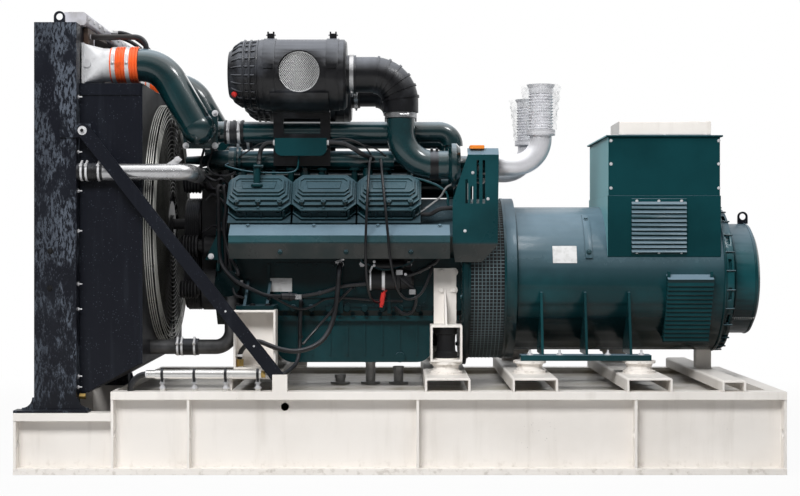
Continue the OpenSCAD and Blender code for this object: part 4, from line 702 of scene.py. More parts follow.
def clear_film(paint):
    """Stretch film left on the exhaust, crumpled and mostly clear."""
    f = Finish("clear_film", roughness=0.25)
    folds = f.noise(34, 6, (1, 1, 0.5)).ramp(0.46, 0.66)
    f.bump(f.noise(40, 5), 0.006, 0.9)
    f.material.surface_render_method = "BLENDED"
    f.set(
        Base_Color=f.mix((0.86, 0.87, 0.88), (0.62, 0.64, 0.66), folds),
        Alpha=0.1 + 0.34 * folds,
        Coat_Weight=0.5,
    )


# Finishes that differ from the slot of the record, with the solids that wear them
NODE_FINISH = {
    "post_paint": ("near_radiator_post", "far_radiator_post"),
    "pipe_paint": (
        "charge_air_elbows", "charge_air_pipes", "coolant_manifold", "intake_elbows", "turbochargers",
    ),
    "duct_casting": ("tank_fittings",),
    # The coupling guard behind the wire mesh is near black: painted shade inside the mesh
    "painted_shade_black": ("coupling_guard",),
    # Darker copies of the engine green, painted shade: rocker covers, junction box, heads, crankcase,
    # flywheel housing and front cover
    "shaded_cover_paint": ("rocker_covers", "junction_box"),
    # Lighter copies of the engine green, painted light: the louvres' slats and the end bell
    "louvre_highlight_paint": ("louvre_panels",),
    "barrel_paint": ("alternator_frame",),
    "lit_bell_paint": ("alternator_end_bell",),
    "box_paint": ("terminal_box", "terminal_box_cover"),
    "mount_rubber": ("rubber_mounts",),
    "cleaner_black": ("intake_hoses",),
    "shaded_block_paint": ("cylinder_heads", "crankcase", "flywheel_housing"),
    "shaded_front_paint": ("front_cover",),
    "shield_paint": ("heat_shields",),
    "chrome": ("drain_tube",),
    "pipe_steel": ("coolant_pipes",),
}
SOFT_EDGE = {
    "near_side_rail", "far_side_rail", "cross_members", "cross_channels", "engine_brackets", "heat_shields",
    "near_radiator_post", "far_radiator_post", "radiator_braces", "fan_shroud", "header_tank", "crankcase",
    "junction_box", "cylinder_heads", "rocker_covers", "oil_sump", "front_cover", "flywheel_housing",
    "terminal_box", "terminal_box_cover", "terminal_top_box", "alternator_feet", "alternator_end_bell",
    "alternator_frame", "louvre_panels", "cleaner_brackets", "lifting_eyes", "turbochargers",
    "exhaust_elbows", "air_cleaners",
}


class GENSET_OT_finishes(bpy.types.Operator):
    """Mixes the paints, metals and rubbers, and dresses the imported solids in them."""

    bl_idname = "genset.finishes"
    bl_label = "Finishes"

    def execute(self, context):
        self.mix(context.scene.genset_paint)
        chosen = {part["node"]: part["material_slot"] for part in frame["record"]["subparts"]}
        chosen.update((node, finish) for finish, nodes in NODE_FINISH.items() for node in nodes)
        for name, node in frame["nodes"].items():
            node.data.materials.clear()
            node.data.materials.append(bpy.data.materials[f"finish_{chosen[name]}"])
            if name in SOFT_EDGE:
                soften(node, context.scene.genset_fitting.edge)
        return {"FINISHED"}

    @staticmethod
    def mix(paint):
        for mixer in (
            engine_paint, pipe_paint, frame_paint, tank_plate, post_paint, radiator_paint, header_paint,
            core_fins, silicone, pipe_steel, shield_paint, box_paint, mount_rubber, clear_film,
        ):
            mixer(paint)
        # Darker copies of the engine green, painted shade: the covers, the block and the front cover
        engine_paint(paint, "shaded_cover_paint", 0.42, 0.75)
        # Painted light: the end bell's green is lightened, and the louvres carry more of the pale upper
        # layer as a painted highlight on their slats
        engine_paint(paint, "lit_bell_paint", 0.7, 1.6)
        engine_paint(paint, "louvre_highlight_paint", 1.6)
        engine_paint(paint, "barrel_paint", lie=dust_and_sheen_on_barrel)
        engine_paint(paint, "shaded_block_paint", 0.35, 0.42)
        engine_paint(paint, "shaded_front_paint", 0.15, 0.12)
        metal("brass_fittings", paint.brass, 0.24, shade(paint.brass, 0.35), 0.0006)
        metal("bright_steel", paint.steel, 0.2, shade(paint.steel, 0.45), 0.0004, stretch=(0.1, 1, 1))
        metal("exhaust_steel", (0.93, 0.93, 0.96), 0.28, (0.66, 0.66, 0.7), 0.0005, 0.55)
        metal("guard_wire", (0.5, 0.5, 0.47), 0.3, (0.24, 0.24, 0.22), 0.0003, 0.4)
        metal("coupling_wire", (0.16, 0.22, 0.24), 0.35, (0.06, 0.1, 0.11), 0.0002, 0.3)
        # A darker copy of the guard wire: painted shade on the cage's face
        metal("guard_wire_shaded", (0.035, 0.035, 0.03), 0.4, (0.012, 0.012, 0.01), 0.0004, 0.5)
        metal("chrome", (0.95, 0.94, 0.92), 0.1, (0.8, 0.78, 0.75), 0.00002, 0.85, 8)
        metal("zinc", (0.78, 0.78, 0.8), 0.3, (0.52, 0.52, 0.53), 0.0002, 0.35)
        metal("drive_iron", (0.014, 0.014, 0.016), 0.34, (0.006, 0.006, 0.006), 0.0006, 0.3)
        metal("turbo_iron", (0.07, 0.06, 0.055), 0.45, (0.1, 0.055, 0.035), 0.0012, 0.5)
        metal("duct_casting", paint.casting, 0.42, shade(paint.casting, 0.55), 0.0022, 0.2, 60)
        metal("mesh_steel", (0.9, 0.9, 0.9), 0.3, (0.62, 0.62, 0.62), 0.0002, 0.8)
        black_stuff("rubber", paint.rubber, (0.13, 0.14, 0.165), 0.34, 0.0006, 0.3)
        black_stuff("cable", (0.006, 0.006, 0.007), (0.12, 0.12, 0.14), 0.3, 0.0004, 0.16)
        black_stuff("cleaner_black", (0.004, 0.004, 0.005), (0.2, 0.215, 0.25), 0.3, 0.0008, 0.6, 130)
        black_stuff("fan_plastic", (0.06, 0.06, 0.065), (0.16, 0.16, 0.17), 0.4, 0.0005)
        plain("bare_plate", (0.7, 0.7, 0.7), (0.56, 0.56, 0.55), 0.35, 30, 0.2)
        plain("red_tag", (0.62, 0.035, 0.03), (0.4, 0.02, 0.02))
        plain("orange_cap", (0.8, 0.24, 0.03), (0.62, 0.16, 0.02))
        # Near black that stands for shade: painted shade behind the coupling's mesh
        plain("painted_shade_black", (0.004, 0.004, 0.005), (0.01, 0.01, 0.011), 0.8)


class GENSET_OT_free_lines(bpy.types.Operator):
    """Lays the oil drain hose and the two sensor leads along their routes."""

    bl_idname = "genset.free_lines"
    bl_label = "Free lines"

    def execute(self, context):
        for name, node, route, diameter, finish in (
            ("oil_hose", "oil_drain_hose", OIL_HOSE, 0.026, "rubber"),
            ("lead_front", "front_sensor_lead", FRONT_LEAD, 0.014, "cable"),
            ("lead_rear", "rear_sensor_lead", REAR_LEAD, 0.014, "cable"),
        ):
            line = smooth(route, 8)
            piece = Shape(14).tube(line, diameter / 2).done(name, finish)
            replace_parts(piece, node)
        return {"FINISHED"}


class GENSET_OT_fan_cage(bpy.types.Operator):
    """Winds the wire cage round the fan: close rings on the drum and the face, held by bars."""

    bl_idname = "genset.fan_cage"
    bl_label = "Fan cage"

    def execute(self, context):
        low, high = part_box("guard_drum")
        front, rear = low[0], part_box("guard_face")[1][0]
        hub = Vector((0, 0, (low[2] + high[2]) / 2))
        reach = (high[2] - low[2]) / 2
        wire, pitch = 0.0034, 0.0115
        eye, face_pitch = 0.19, 0.024
        bar, bars, half_pair = 0.0042, 18, 0.011
        # The drum wears the guard wire; the face wears a darker copy of it, painted shade
        drum, face = Shape(), Shape()
        for i in range(int((rear - front) / pitch)):
            drum.ring(hub + (front + wire + i * pitch) * X, X, reach - wire, wire, 80)
        turns = int((reach - eye) / face_pitch)
        for i in range(turns + 1):
            # Painted glints: the outermost three face rings take the drum's bright wire
            shape = drum if i > turns - 4 else face
            shape.ring(hub + (rear - wire) * X, X, eye + i * (reach - wire - eye) / turns, 0.8 * wire, 80)
        back = (rear - 3 * wire - bar) * X
        for out in spokes(bars):
            for depth in (-half_pair, half_pair):
                side = depth * out.cross(X)
                edge = hub + (reach - 2.2 * wire - bar) * out + side
                inner = hub + (eye - bar) * out + side
                face.rod(edge + front * X, edge + (rear - wire) * X, bar, 6)
                face.rod(inner + back, edge + back, bar, 6)
        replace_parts(drum.done("cage_drum_with_glints", "guard_wire"), "guard_drum")
        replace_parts(face.done("cage_face", "guard_wire_shaded", "guard_wire"), "guard_face")
        return {"FINISHED"}


class GENSET_OT_coupling_mesh(bpy.types.Operator):
    """Wraps the coupling in square wire mesh, between the two rolled bands."""

    bl_idname = "genset.coupling_mesh"
    bl_label = "Coupling mesh"

    def execute(self, context):
        low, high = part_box("coupling_guard")
        hub = Vector((0, 0, (low[2] + high[2]) / 2))
        reach = (high[2] - low[2]) / 2
        wire, pitch, band, lip = 0.0021, 0.0195, 0.014, 0.003
        start, stop = low[0] + band, high[0] - band
        mesh, rims = Shape(), Shape(64)
        rows = int((stop - start) / pitch)
        for i in range(1, rows):
            mesh.ring(hub + (start + i * (stop - start) / rows) * X, X, reach - wire, wire, 96, 5)
        for out in spokes(int(2 * math.pi * reach / pitch), 0):
            edge = hub + (reach - 2.4 * wire) * out
            mesh.rod(edge + start * X, edge + stop * X, wire, 5)
        for place in (low[0], stop):
            outline = [(0, reach), (0, reach + lip), (band, reach + lip), (band, reach)]
            rims.lathe(hub + place * X, X, outline)
        mesh.done("coupling_wires", "coupling_wire", "engine_paint")
        rims.done("coupling_rims", "engine_paint", bevel=0.001)
        return {"FINISHED"}


class GENSET_OT_cleaner_trim(bpy.types.Operator):
    """Fits the wire screens in the air cleaners' inlets, their clips and the ribs of their caps."""

    bl_idname = "genset.cleaner_trim"
    bl_label = "Air cleaner trim"

    AXIS_Y, AXIS_Z, RADIUS = 0.4, 2.116, 0.19
    BANDS_X = (-0.702, -0.363)

    def execute(self, context):
        screen, black, steel, red = Shape(), Shape(), Shape(), Shape()
        cap_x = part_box("air_cleaners")[0][0]
        for hand in HANDS:
            hub = Vector((cap_x, hand * self.AXIS_Y, self.AXIS_Z))
            self.inlet(screen, hand)
            self.cap(black, hub)
            for x in self.BANDS_X:
                self.strap(black, steel, x, hand)
            gauge = hub + Vector((0.036, hand * 0.105, -0.118))
            profile = [(-0.01, 0.016), (0.008, 0.016), (0.012, 0.009), (0.012, 0)]
            red.lathe(gauge, Vector((-0.5, hand * 0.62, -0.6)), profile, 14)
            self.hose(black, steel, hand)
        screen.done("inlet_screens", "mesh_steel", "bright_steel")
        black.done("cleaner_ribs", "cleaner_black")
        steel.done("intake_clamps", "bright_steel")
        red.done("restriction_gauges", "red_tag", "silicone")
        return {"FINISHED"}

    def inlet(self, screen, hand):
        """Two layers of slanting wires, in a rim."""
        x, depth, radius = -0.539, 0.142, 0.11
        wire, pitch, slant, rim = 0.0021, 0.0088, math.radians(52), 0.003
        centre = Vector((x, hand * (self.AXIS_Y + depth), self.AXIS_Z))
        for turn in (1, -1):
            run = Vector((math.cos(turn * slant), 0, math.sin(turn * slant)))
            for i in range(-12, 13):
                off = i * pitch
                half = math.sqrt(radius ** 2 - off ** 2)
                middle = centre + off * run.cross(Y) + turn * 0.001 * Y
                screen.rod(middle - half * run, middle + half * run, wire, 4)
        screen.ring(centre, hand * Y, radius - rim, rim)

    def cap(self, black, hub):
        """Ribs over the cap's rounded end, and beads round it."""
        for out in spokes(24):
            rib = ((0.002, 0.098), (0.03, 0.152), (0.064, 0.175), (0.15, 0.181))
            black.tube([hub + along * X + reach * out for along, reach in rib], 0.0045, 6)
        for along in (0.086, 0.12, 0.158):
            black.ring(hub + along * X, X, self.RADIUS - 0.006, 0.0055, 64, 8)

    def strap(self, black, steel, x, hand):
        """A band's lugs and screw on top, and its clip at the side."""
        top = Vector((x, hand * self.AXIS_Y, self.AXIS_Z + self.RADIUS))
        for side in (-0.015, 0.015):
            lug = top + side * X
            black.block(lug + Vector((-0.004, -0.016, 0.004)), lug + Vector((0.004, 0.016, 0.042)))
        screw = top + 0.026 * Z
        steel.rod(screw - 0.026 * X, screw + 0.026 * X, 0.005, 8)
        clip = Vector((x, hand * (self.AXIS_Y + self.RADIUS + 0.001), self.AXIS_Z))
        black.block(clip + Vector((-0.026, -0.012, 0.012)), clip + Vector((0.026, 0.012, 0.034)))

    def hose(self, black, steel, hand):
        """Clamps of the rubber elbow, and the sleeve where the intake meets the turbocharger."""
        y, sleeve_z = hand * self.AXIS_Y, 1.625
        steel.clamp((-0.262, y, self.AXIS_Z), X, 0.106, 0.022, (0, hand * 0.3, -1))
        steel.clamp((0.004, y, 1.893), Z, 0.083, 0.028, (0.2, hand, 0))
        for along in (0.172, 0.2):
            black.clamp((along, y, sleeve_z), X, 0.0785, 0.009, (0, hand * 0.2, 1))
        black.band((0.186, y, sleeve_z), X, 0.0775, 0.044, 0.002)


LEAN = math.sqrt(0.5)


def bank(x, across_bank, radius, hand=-1):
    """A place on a cylinder bank: along the crankshaft, across the bank and out from the crankshaft."""
    return Vector((x, hand * LEAN * (radius - across_bank), CRANK_Z + LEAN * (radius + across_bank)))


class GENSET_OT_cover_trim(bpy.types.Operator):
    """Beads the tiers of the rocker covers and bolts them to the heads."""

    bl_idname = "genset.cover_trim"
    bl_label = "Rocker cover trim"

    START, PITCH, SIZE, HALF, CORNER = -0.927, 0.349, 0.34, 0.134, 0.048
    BASE, TALL = 0.585, 0.145
    # Share of the height, inset and bead of each tier
    TIERS = ((0.56, 0, 0.004), (0.72, 0.018, 0.0035), (0.84, 0.038, 0.0035), (1.0, 0.074, 0.003))
    PANEL = ((0.085, -0.03), (0.255, -0.03), (0.265, 0.026), (0.075, 0.026))

    def execute(self, context):
        beads, bolts = Shape(8), Shape()
        for hand in HANDS:
            for i in range(3):
                self.cover(beads, bolts, self.START + i * self.PITCH, hand)
            breather = bank(self.START + 0.16, -0.01, self.BASE + self.TALL - 0.01, hand)
            neck = [(0, 0.032), (0.012, 0.032), (0.018, 0.019), (0.12, 0.019), (0.12, 0)]
            beads.lathe(breather, Z, neck, 20)
            bolts.clamp(breather + 0.108 * Z, Z, 0.02, 0.012, (0.3, hand, 0))
        # The beads and bolts wear the covers' darker green, painted shade
        beads.done("cover_beads", "shaded_cover_paint", "engine_paint")
        bolts.done("cover_bolts", "shaded_cover_paint", "engine_paint")
        return {"FINISHED"}

    def cover(self, beads, bolts, x, hand):
        """One cover's beads and bolts; a level is a share of its height."""
        up = Vector((0, hand * LEAN, LEAN))
        side = Vector((0, hand * LEAN, -LEAN))

        def place(along, across_bank, level, sink=0.0):
            return bank(x + along, across_bank, self.BASE + level * self.TALL - sink, hand)

        for level, inset, wire in self.TIERS:
            wide, cut = self.HALF - inset, self.CORNER - inset / 3
            left, right = inset / 2, self.SIZE - inset / 2
            outline = (
                (left + cut, -wide), (right - cut, -wide), (right, cut - wide), (right, wide - cut),
                (right - cut, wide), (left + cut, wide), (left, wide - cut), (left, cut - wide),
            )
            beads.tube([place(a, b, level, wire) for a, b in outline], wire, closed=True)
        beads.tube([place(a, b, 1.0, 0.005) for a, b in self.PANEL], 0.0025, closed=True)
        for along in (0.16 * self.SIZE, 0.5 * self.SIZE, 0.84 * self.SIZE):
            for edge in (-0.121, 0.121):
                bolts.bolt(place(along, edge, 0.56), up, 0.009)
            foot = place(along, -0.106, 0.72)
            beads.lathe(foot, up, [(0, 0.015), (0.018, 0.013), (0.018, 0)], 12)
            bolts.bolt(foot + 0.018 * up, up, 0.0075)
        for along in (0.2 * self.SIZE, 0.45 * self.SIZE, 0.8 * self.SIZE):
            bolts.bolt(place(along, -0.122, 0.3), side, 0.011)
            beads.rod(place(along + 0.03, -0.122, 0.12), place(along + 0.03, -0.122, 0.46), 0.008)


class GENSET_OT_hose_clamps(bpy.types.Operator):
    """Tightens steel clamps round the hoses of the cooler, the galleries and the radiator."""

    bl_idname = "genset.hose_clamps"
    bl_label = "Hose clamps"

    def execute(self, context):
        narrow = context.scene.genset_fitting.clamp
        wide = 1.3 * narrow
        steel, folds, black = Shape(), Shape(), Shape()
        cooler_y, cooler_z = 0.54, 2.15
        gallery_x, gallery_y, gallery_z, gallery_r = -0.968, 0.25, 1.815, 0.0625
        upper_y, upper_z = -0.73, 1.569
        lower_y, lower_z = -0.42, 0.637
        for hand in HANDS:
            for x in (-1.519, -1.446):
                steel.clamp((x, hand * cooler_y, cooler_z), X, 0.0935, wide, (0, hand, 0.25))
            for x in (-1.5, -1.484, -1.468, -1.425, -1.409, -1.396):
                folds.ring((x, hand * cooler_y, cooler_z), X, 0.0925, 0.0065, 48, 8)
            mouth = Vector((gallery_x, hand * gallery_y, gallery_z))
            for along in (0.02, 0.078):
                steel.clamp(mouth + along * X, X, gallery_r, narrow, (0, hand, 0.4))
            for along in (0.004, 0.05, 0.098):
                black.band(mouth + along * X, X, gallery_r, 0.012, 0.005)
        for x in (-1.656, -1.63, -1.566):
            steel.clamp((x, upper_y, upper_z), X, 0.0455, 0.011, (0, -0.5, 0.9))
        for x in (-1.6, -1.585):
            black.ring((x, upper_y, upper_z), X, 0.045, 0.004, 32)
        for x in (-1.203, -1.18, -1.112):
            steel.clamp((x, lower_y, lower_z), X, 0.0455, 0.011, (0, -0.7, 0.7))
        steel.done("hose_clamps", "zinc", "bright_steel")
        folds.done("hose_folds", "silicone")
        black.done("hose_bands", "rubber")
        return {"FINISHED"}


def grid(xs, zs):
    """Places in rows and columns."""
    return [(x, z) for x in xs for z in zs]


class GENSET_OT_fasteners(bpy.types.Operator):
    """Sets the bolts that show on brackets, shields, boxes, flanges and feet."""

    bl_idname = "genset.fasteners"
    bl_label = "Fasteners"

    POST_Z = (1.962, 1.674, 1.471, 1.262, 0.985, 0.854, 0.504, 0.447)

    def execute(self, context):
        size = context.scene.genset_fitting.bolt
        bright, painted, dark, cream = Shape(), Shape(), Shape(), Shape()
        for hand in HANDS:
            out = hand * Y
            shield_top = (0, hand * 0.606, 0.795)
            shield_low = (0, hand * 0.92, -0.39)
            # Distance from the middle, places along and up, direction, share of the common size
            for shape, y, places, axis, share, more in (
                (bright, 0.788, [(-1.644, 1.781)], out, 1.2, {"washer": 1.8}),
                (dark, 0.792, [(-1.644, 1.781)], out, 0.9, {"washer": 1.1}),
                (bright, 0.788, [(-0.903, 0.845), (-0.756, 0.665)], out, 0.35, {}),
                (bright, 0.792, [(-0.621, 0.49)], out, 0.8, {}),
                (dark, 0.764, [(-1.815, 1.157), (-1.817, 0.965)], out, 1.0, {}),
                (bright, 0.72, grid([-1.68], self.POST_Z), X, 0.7, {"stud": 0.014}),
                (bright, 0.44, grid((-1.159, -1.001), (1.727, 1.903)), out, 1.1, {"stud": 0.012}),
                (painted, 0.521, grid((-0.815, -0.461, -0.118, 0.214), [1.291]), shield_top, 0.9, {}),
                (painted, 0.577, grid((-0.638, -0.287, 0.058), [1.152]), shield_low, 0.9, {}),
                (bright, 0.546, [(0.389, 1.575), (0.47, 1.435), (0.347, 1.264)], out, 0.6, {"washer": 1.3}),
                (bright, 0.386, grid((1.15, 1.738), (1.5, 1.631, 1.758)), out, 0.55, {}),
                (bright, 0.385, grid((1.216, 1.442, 1.668), [1.788]), Z, 0.6, {}),
                (bright, 0.394, grid((1.29, 1.41, 1.533), (1.149, 1.429)), out, 0.5, {}),
                (cream, 0.346, [(0.2275, 1.041), (0.296, 1.041)], out, 1.4, {}),
                (cream, 0.346, [(0.2248, 0.943), (0.2938, 0.943)], out, 1.4, {}),
                (dark, 0.56, grid((-0.862, -0.785, -0.704), [0.866]), Z, 1.2, {}),
                (bright, 0.478, grid((0.7, 0.86, 1.12, 1.3), [0.597]), Z, 1.2, {"stud": 0.016}),
                (painted, 0.312, [(-0.86 + 0.075 * i, 0.8) for i in range(16)], -Z, 0.8, {}),
            ):
                for x, z in places:
                    shape.bolt((x, hand * y, z), axis, share * size, **more)
            for y, lift in ((0.253, 0.335), (0.392, 0.15)):
                painted.bolt((1.029, hand * y, CRANK_Z + lift), (0, hand * y, lift), size)
        hub = CRANK_Z * Z
        for spoke in spokes(16):
            painted.bolt(hub + 1.82 * X + 0.362 * spoke, X, 0.9 * size)
            painted.bolt(hub + 0.335 * X + 0.47 * spoke, -X, 0.9 * size)
        bright.done("bright_bolts", "zinc", "bright_steel")
        cream.done("bracket_bolts", "frame_paint")
        painted.done("painted_bolts", "engine_paint")
        dark.done("dark_bolts", "drive_iron")
        return {"FINISHED"}


# Looms and small pipes: name, finish, radius and route
HARNESS_LINES = (
    ("front_loom", "cable", 0.0105, (
        (-0.986, -0.4, 1.511), (-0.986, -0.415, 1.407), (-0.982, -0.425, 1.271), (-0.975, -0.44, 1.135),
        (-0.95, -0.47, 1.065), (-0.886, -0.505, 1.001), (-0.82, -0.52, 0.964), (-0.724, -0.52, 0.921),
        (-0.636, -0.48, 0.912), (-0.557, -0.455, 0.908),
    )),
    ("main_loom", "cable", 0.0105, (
        (-0.56, -0.455, 0.908), (-0.433, -0.44, 0.929), (-0.32, -0.432, 0.962), (-0.174, -0.43, 0.978),
        (-0.081, -0.43, 0.983), (0.0, -0.43, 1.005), (0.109, -0.425, 1.048), (0.201, -0.41, 1.102),
    )),
    ("low_hose", "cable", 0.0065, (
        (-0.697, -0.52, 0.916), (-0.646, -0.49, 0.888), (-0.595, -0.45, 0.859), (-0.527, -0.41, 0.841),
        (-0.463, -0.395, 0.862), (-0.404, -0.385, 0.895), (-0.301, -0.37, 0.9), (-0.153, -0.36, 0.888),
        (0.0, -0.35, 0.883),
    )),
    ("dip_line", "cable", 0.007, (
        (-0.261, -0.425, 0.956), (-0.326, -0.425, 0.891), (-0.379, -0.44, 0.821), (-0.443, -0.47, 0.747),
        (-0.517, -0.56, 0.661),
    )),
    ("down_hose", "rubber", 0.011, (
        (-0.54, -0.39, 0.873), (-0.544, -0.4, 0.727), (-0.545, -0.43, 0.62), (-0.556, -0.47, 0.558),
        (-0.583, -0.54, 0.526), (-0.612, -0.64, 0.51),
    )),
    ("box_conduit_left", "rubber", 0.0125, (
        (-0.676, -0.375, 1.747), (-0.705, -0.375, 1.747), (-0.732, -0.375, 1.741), (-0.756, -0.378, 1.714),
        (-0.766, -0.387, 1.669), (-0.767, -0.43, 1.6), (-0.767, -0.5, 1.585),
    )),
    ("box_conduit_right", "rubber", 0.0135, (
        (-0.402, -0.375, 1.747), (-0.355, -0.375, 1.747), (-0.3, -0.375, 1.738), (-0.251, -0.375, 1.714),
        (-0.208, -0.365, 1.687), (-0.154, -0.33, 1.665),
    )),
    ("box_wire_a", "cable", 0.004, (
        (-0.402, -0.372, 1.758), (-0.311, -0.38, 1.771), (-0.235, -0.375, 1.752), (-0.181, -0.36, 1.715),
        (-0.154, -0.32, 1.673),
    )),
    ("box_wire_b", "cable", 0.004, (
        (-0.402, -0.372, 1.741), (-0.284, -0.37, 1.758), (-0.208, -0.35, 1.737), (-0.143, -0.32, 1.723),
        (-0.077, -0.3, 1.68),
    )),
    ("box_wire_c", "cable", 0.004, (
        (-0.676, -0.375, 1.757), (-0.765, -0.375, 1.741), (-0.822, -0.35, 1.71), (-0.879, -0.33, 1.673),
    )),
    ("sense_pipe", "engine_paint", 0.005, (
        (-0.952, -0.36, 1.622), (-0.872, -0.39, 1.598), (-0.783, -0.41, 1.584), (-0.68, -0.41, 1.581),
        (-0.593, -0.4, 1.584), (-0.559, -0.385, 1.609), (-0.552, -0.372, 1.68),
    )),
    ("front_wire_a", "cable", 0.007, (
        (-1.077, -0.33, 1.711), (-1.092, -0.34, 1.628), (-1.058, -0.35, 1.568), (-1.004, -0.38, 1.539),
        (-0.97, -0.39, 1.549),
    )),
    ("front_wire_b", "cable", 0.008, (
        (-1.108, -0.3, 1.614), (-1.066, -0.33, 1.558), (-1.029, -0.36, 1.501), (-0.991, -0.4, 1.489),
    )),
    ("front_wire_c", "cable", 0.006, (
        (-1.033, -0.33, 1.7), (-1.053, -0.345, 1.623), (-1.018, -0.36, 1.578), (-0.949, -0.39, 1.566),
        (-0.893, -0.4, 1.587),
    )),
    ("front_wire_d", "cable", 0.008, (
        (-1.062, -0.36, 1.436), (-1.028, -0.37, 1.463), (-0.987, -0.39, 1.446), (-0.947, -0.4, 1.402),
        (-0.941, -0.41, 1.314), (-0.95, -0.42, 1.216), (-0.944, -0.43, 1.097),
    )),
    ("front_wire_e", "rubber", 0.009, (
        (-0.958, -0.4, 1.511), (-0.946, -0.41, 1.407), (-0.955, -0.425, 1.282), (-0.932, -0.44, 1.162),
        (-0.871, -0.5, 1.044),
    )),
    ("front_wire_f", "cable", 0.007, (
        (-1.082, -0.33, 1.261), (-1.018, -0.36, 1.293), (-0.964, -0.4, 1.26), (-0.921, -0.44, 1.097),
        (-0.895, -0.48, 0.936), (-0.855, -0.5, 0.91),
    )),
    ("turbo_line", "engine_paint", 0.007, (
        (0.076, -0.42, 1.553), (0.136, -0.425, 1.537), (0.206, -0.43, 1.509), (0.255, -0.43, 1.466),
        (0.266, -0.42, 1.401),
    )),
    ("oil_feed", "bright_steel", 0.006, (
        (0.108, -0.44, 1.368), (0.163, -0.44, 1.406), (0.217, -0.44, 1.449), (0.249, -0.435, 1.498),
    )),
    ("turbo_drain", "rubber", 0.013, (
        (0.163, -0.43, 1.357), (0.217, -0.44, 1.384), (0.282, -0.44, 1.39),
    )),
    ("fuel_line", "engine_paint", 0.006, (
        (-0.206, -0.42, 1.097), (-0.152, -0.42, 1.075), (-0.092, -0.425, 1.054), (-0.022, -0.425, 1.064),
        (0.065, -0.42, 1.097),
    )),
    ("starter_cable", "cable", 0.009, (
        (-0.011, -0.44, 1.021), (0.032, -0.45, 0.989), (0.076, -0.45, 0.946), (0.087, -0.44, 0.891),
        (0.065, -0.43, 0.826), (0.022, -0.42, 0.815), (-0.022, -0.4, 0.846),
    )),
    ("vent_upper", "rubber", 0.011, (
        (-1.65, 0.01, 2.402), (-1.59, 0.01, 2.404), (-1.52, 0.01, 2.376), (-1.43, 0.01, 2.3),
        (-1.3, 0.01, 2.12), (-1.17, 0.01, 1.9), (-1.06, 0.01, 1.74), (-1.02, 0.01, 1.7),
    )),
    ("vent_lower", "rubber", 0.011, (
        (-1.65, -0.05, 2.368), (-1.6, -0.05, 2.369), (-1.52, -0.05, 2.338), (-1.43, -0.05, 2.262),
        (-1.3, -0.05, 2.09), (-1.17, -0.05, 1.88), (-1.06, -0.05, 1.73), (-1.02, -0.05, 1.7),
    )),
)


class GENSET_OT_harness(bpy.types.Operator):
    """Clips the wiring looms, conduits and small pipes along the service side of the engine."""

    bl_idname = "genset.harness"
    bl_label = "Harness and small pipes"

    # Solids that the lines' free ends are led to
    SEATS = (
        "crankcase", "front_cover", "cylinder_heads", "heat_shields", "coolant_manifold",
        "charge_air_elbows", "turbochargers", "cross_channels", "flywheel_housing",
    )
    # Ties round the looms: place, direction and radius
    TIES = (
        ((-0.982, -0.425, 1.271), Z, 0.011), ((-0.986, -0.41, 1.43), Z, 0.011),
        ((-0.82, -0.52, 0.964), (1, 0, -0.5), 0.0115), ((-0.433, -0.44, 0.929), (1, 0, 0.25), 0.011),
        ((-0.174, -0.43, 0.978), X, 0.011), ((0.109, -0.425, 1.048), (1, 0, 0.4), 0.011),
        ((-0.54, -0.41, 0.69), Z, 0.0115), ((-0.767, -0.395, 1.65), Z, 0.013),
        ((-0.3, -0.375, 1.738), X, 0.014),
    )

    def execute(self, context):
        trees = []
        for solid in (frame["nodes"][name] for name in self.SEATS):
            corners = [solid.matrix_world @ vertex.co for vertex in solid.data.vertices]
            trees.append(BVHTree.FromPolygons(corners, [face.vertices[:] for face in solid.data.polygons]))
        for name, finish, radius, route in HARNESS_LINES:
            first, last = (self.seat(trees, end, radius) for end in (route[0], route[-1]))
            Shape(10).tube(smooth(first + list(route) + last, 6), radius).done(name, finish)
        ties, plugs, unions = Shape(), Shape(), Shape()
        for place, run, radius in self.TIES:
            ties.band(place, run, radius, 0.012, 0.0025)
        plugs.rod((-0.64, -0.48, 0.912), (-0.56, -0.455, 0.909), 0.019, 12)
        plugs.rod((-0.6, -0.468, 0.91), (-0.585, -0.463, 0.91), 0.024, 12)
        for x in (-0.404, -0.676):
            unions.rod((x - 0.016, -0.375, 1.747), (x + 0.016, -0.375, 1.747), 0.018, 8)
        for x, z in ((-0.862, 0.985), (-0.545, 0.908), (0.0, 1.04), (0.07, 0.935)):
            unions.block((x - 0.02, -0.475, z - 0.012), (x + 0.014, -0.44, z + 0.014))
        for y, z in ((0.01, 2.402), (-0.05, 2.368)):
            unions.rod((-1.652, y, z), (-1.612, y, z), 0.015, 10)
            unions.rod((-1.652, y, z), (-1.64, y, z), 0.021, 6)
        ties.done("loom_ties", "rubber")
        plugs.done("loom_plugs", "rubber")
        unions.done("loom_unions", "bright_steel")
        return {"FINISHED"}

    @staticmethod
    def seat(trees, end, radius, reach=0.09):
        """The nearest place on the solids, where a line's end lies free but close to one."""
        found = [tree.find_nearest(Vector(end), reach) for tree in trees]
        found = [hit for hit in found if hit[0] is not None]
        if not found:
            return []
        place, _, _, gap = min(found, key=lambda hit: hit[3])
        return [tuple(place)] if gap > radius else []


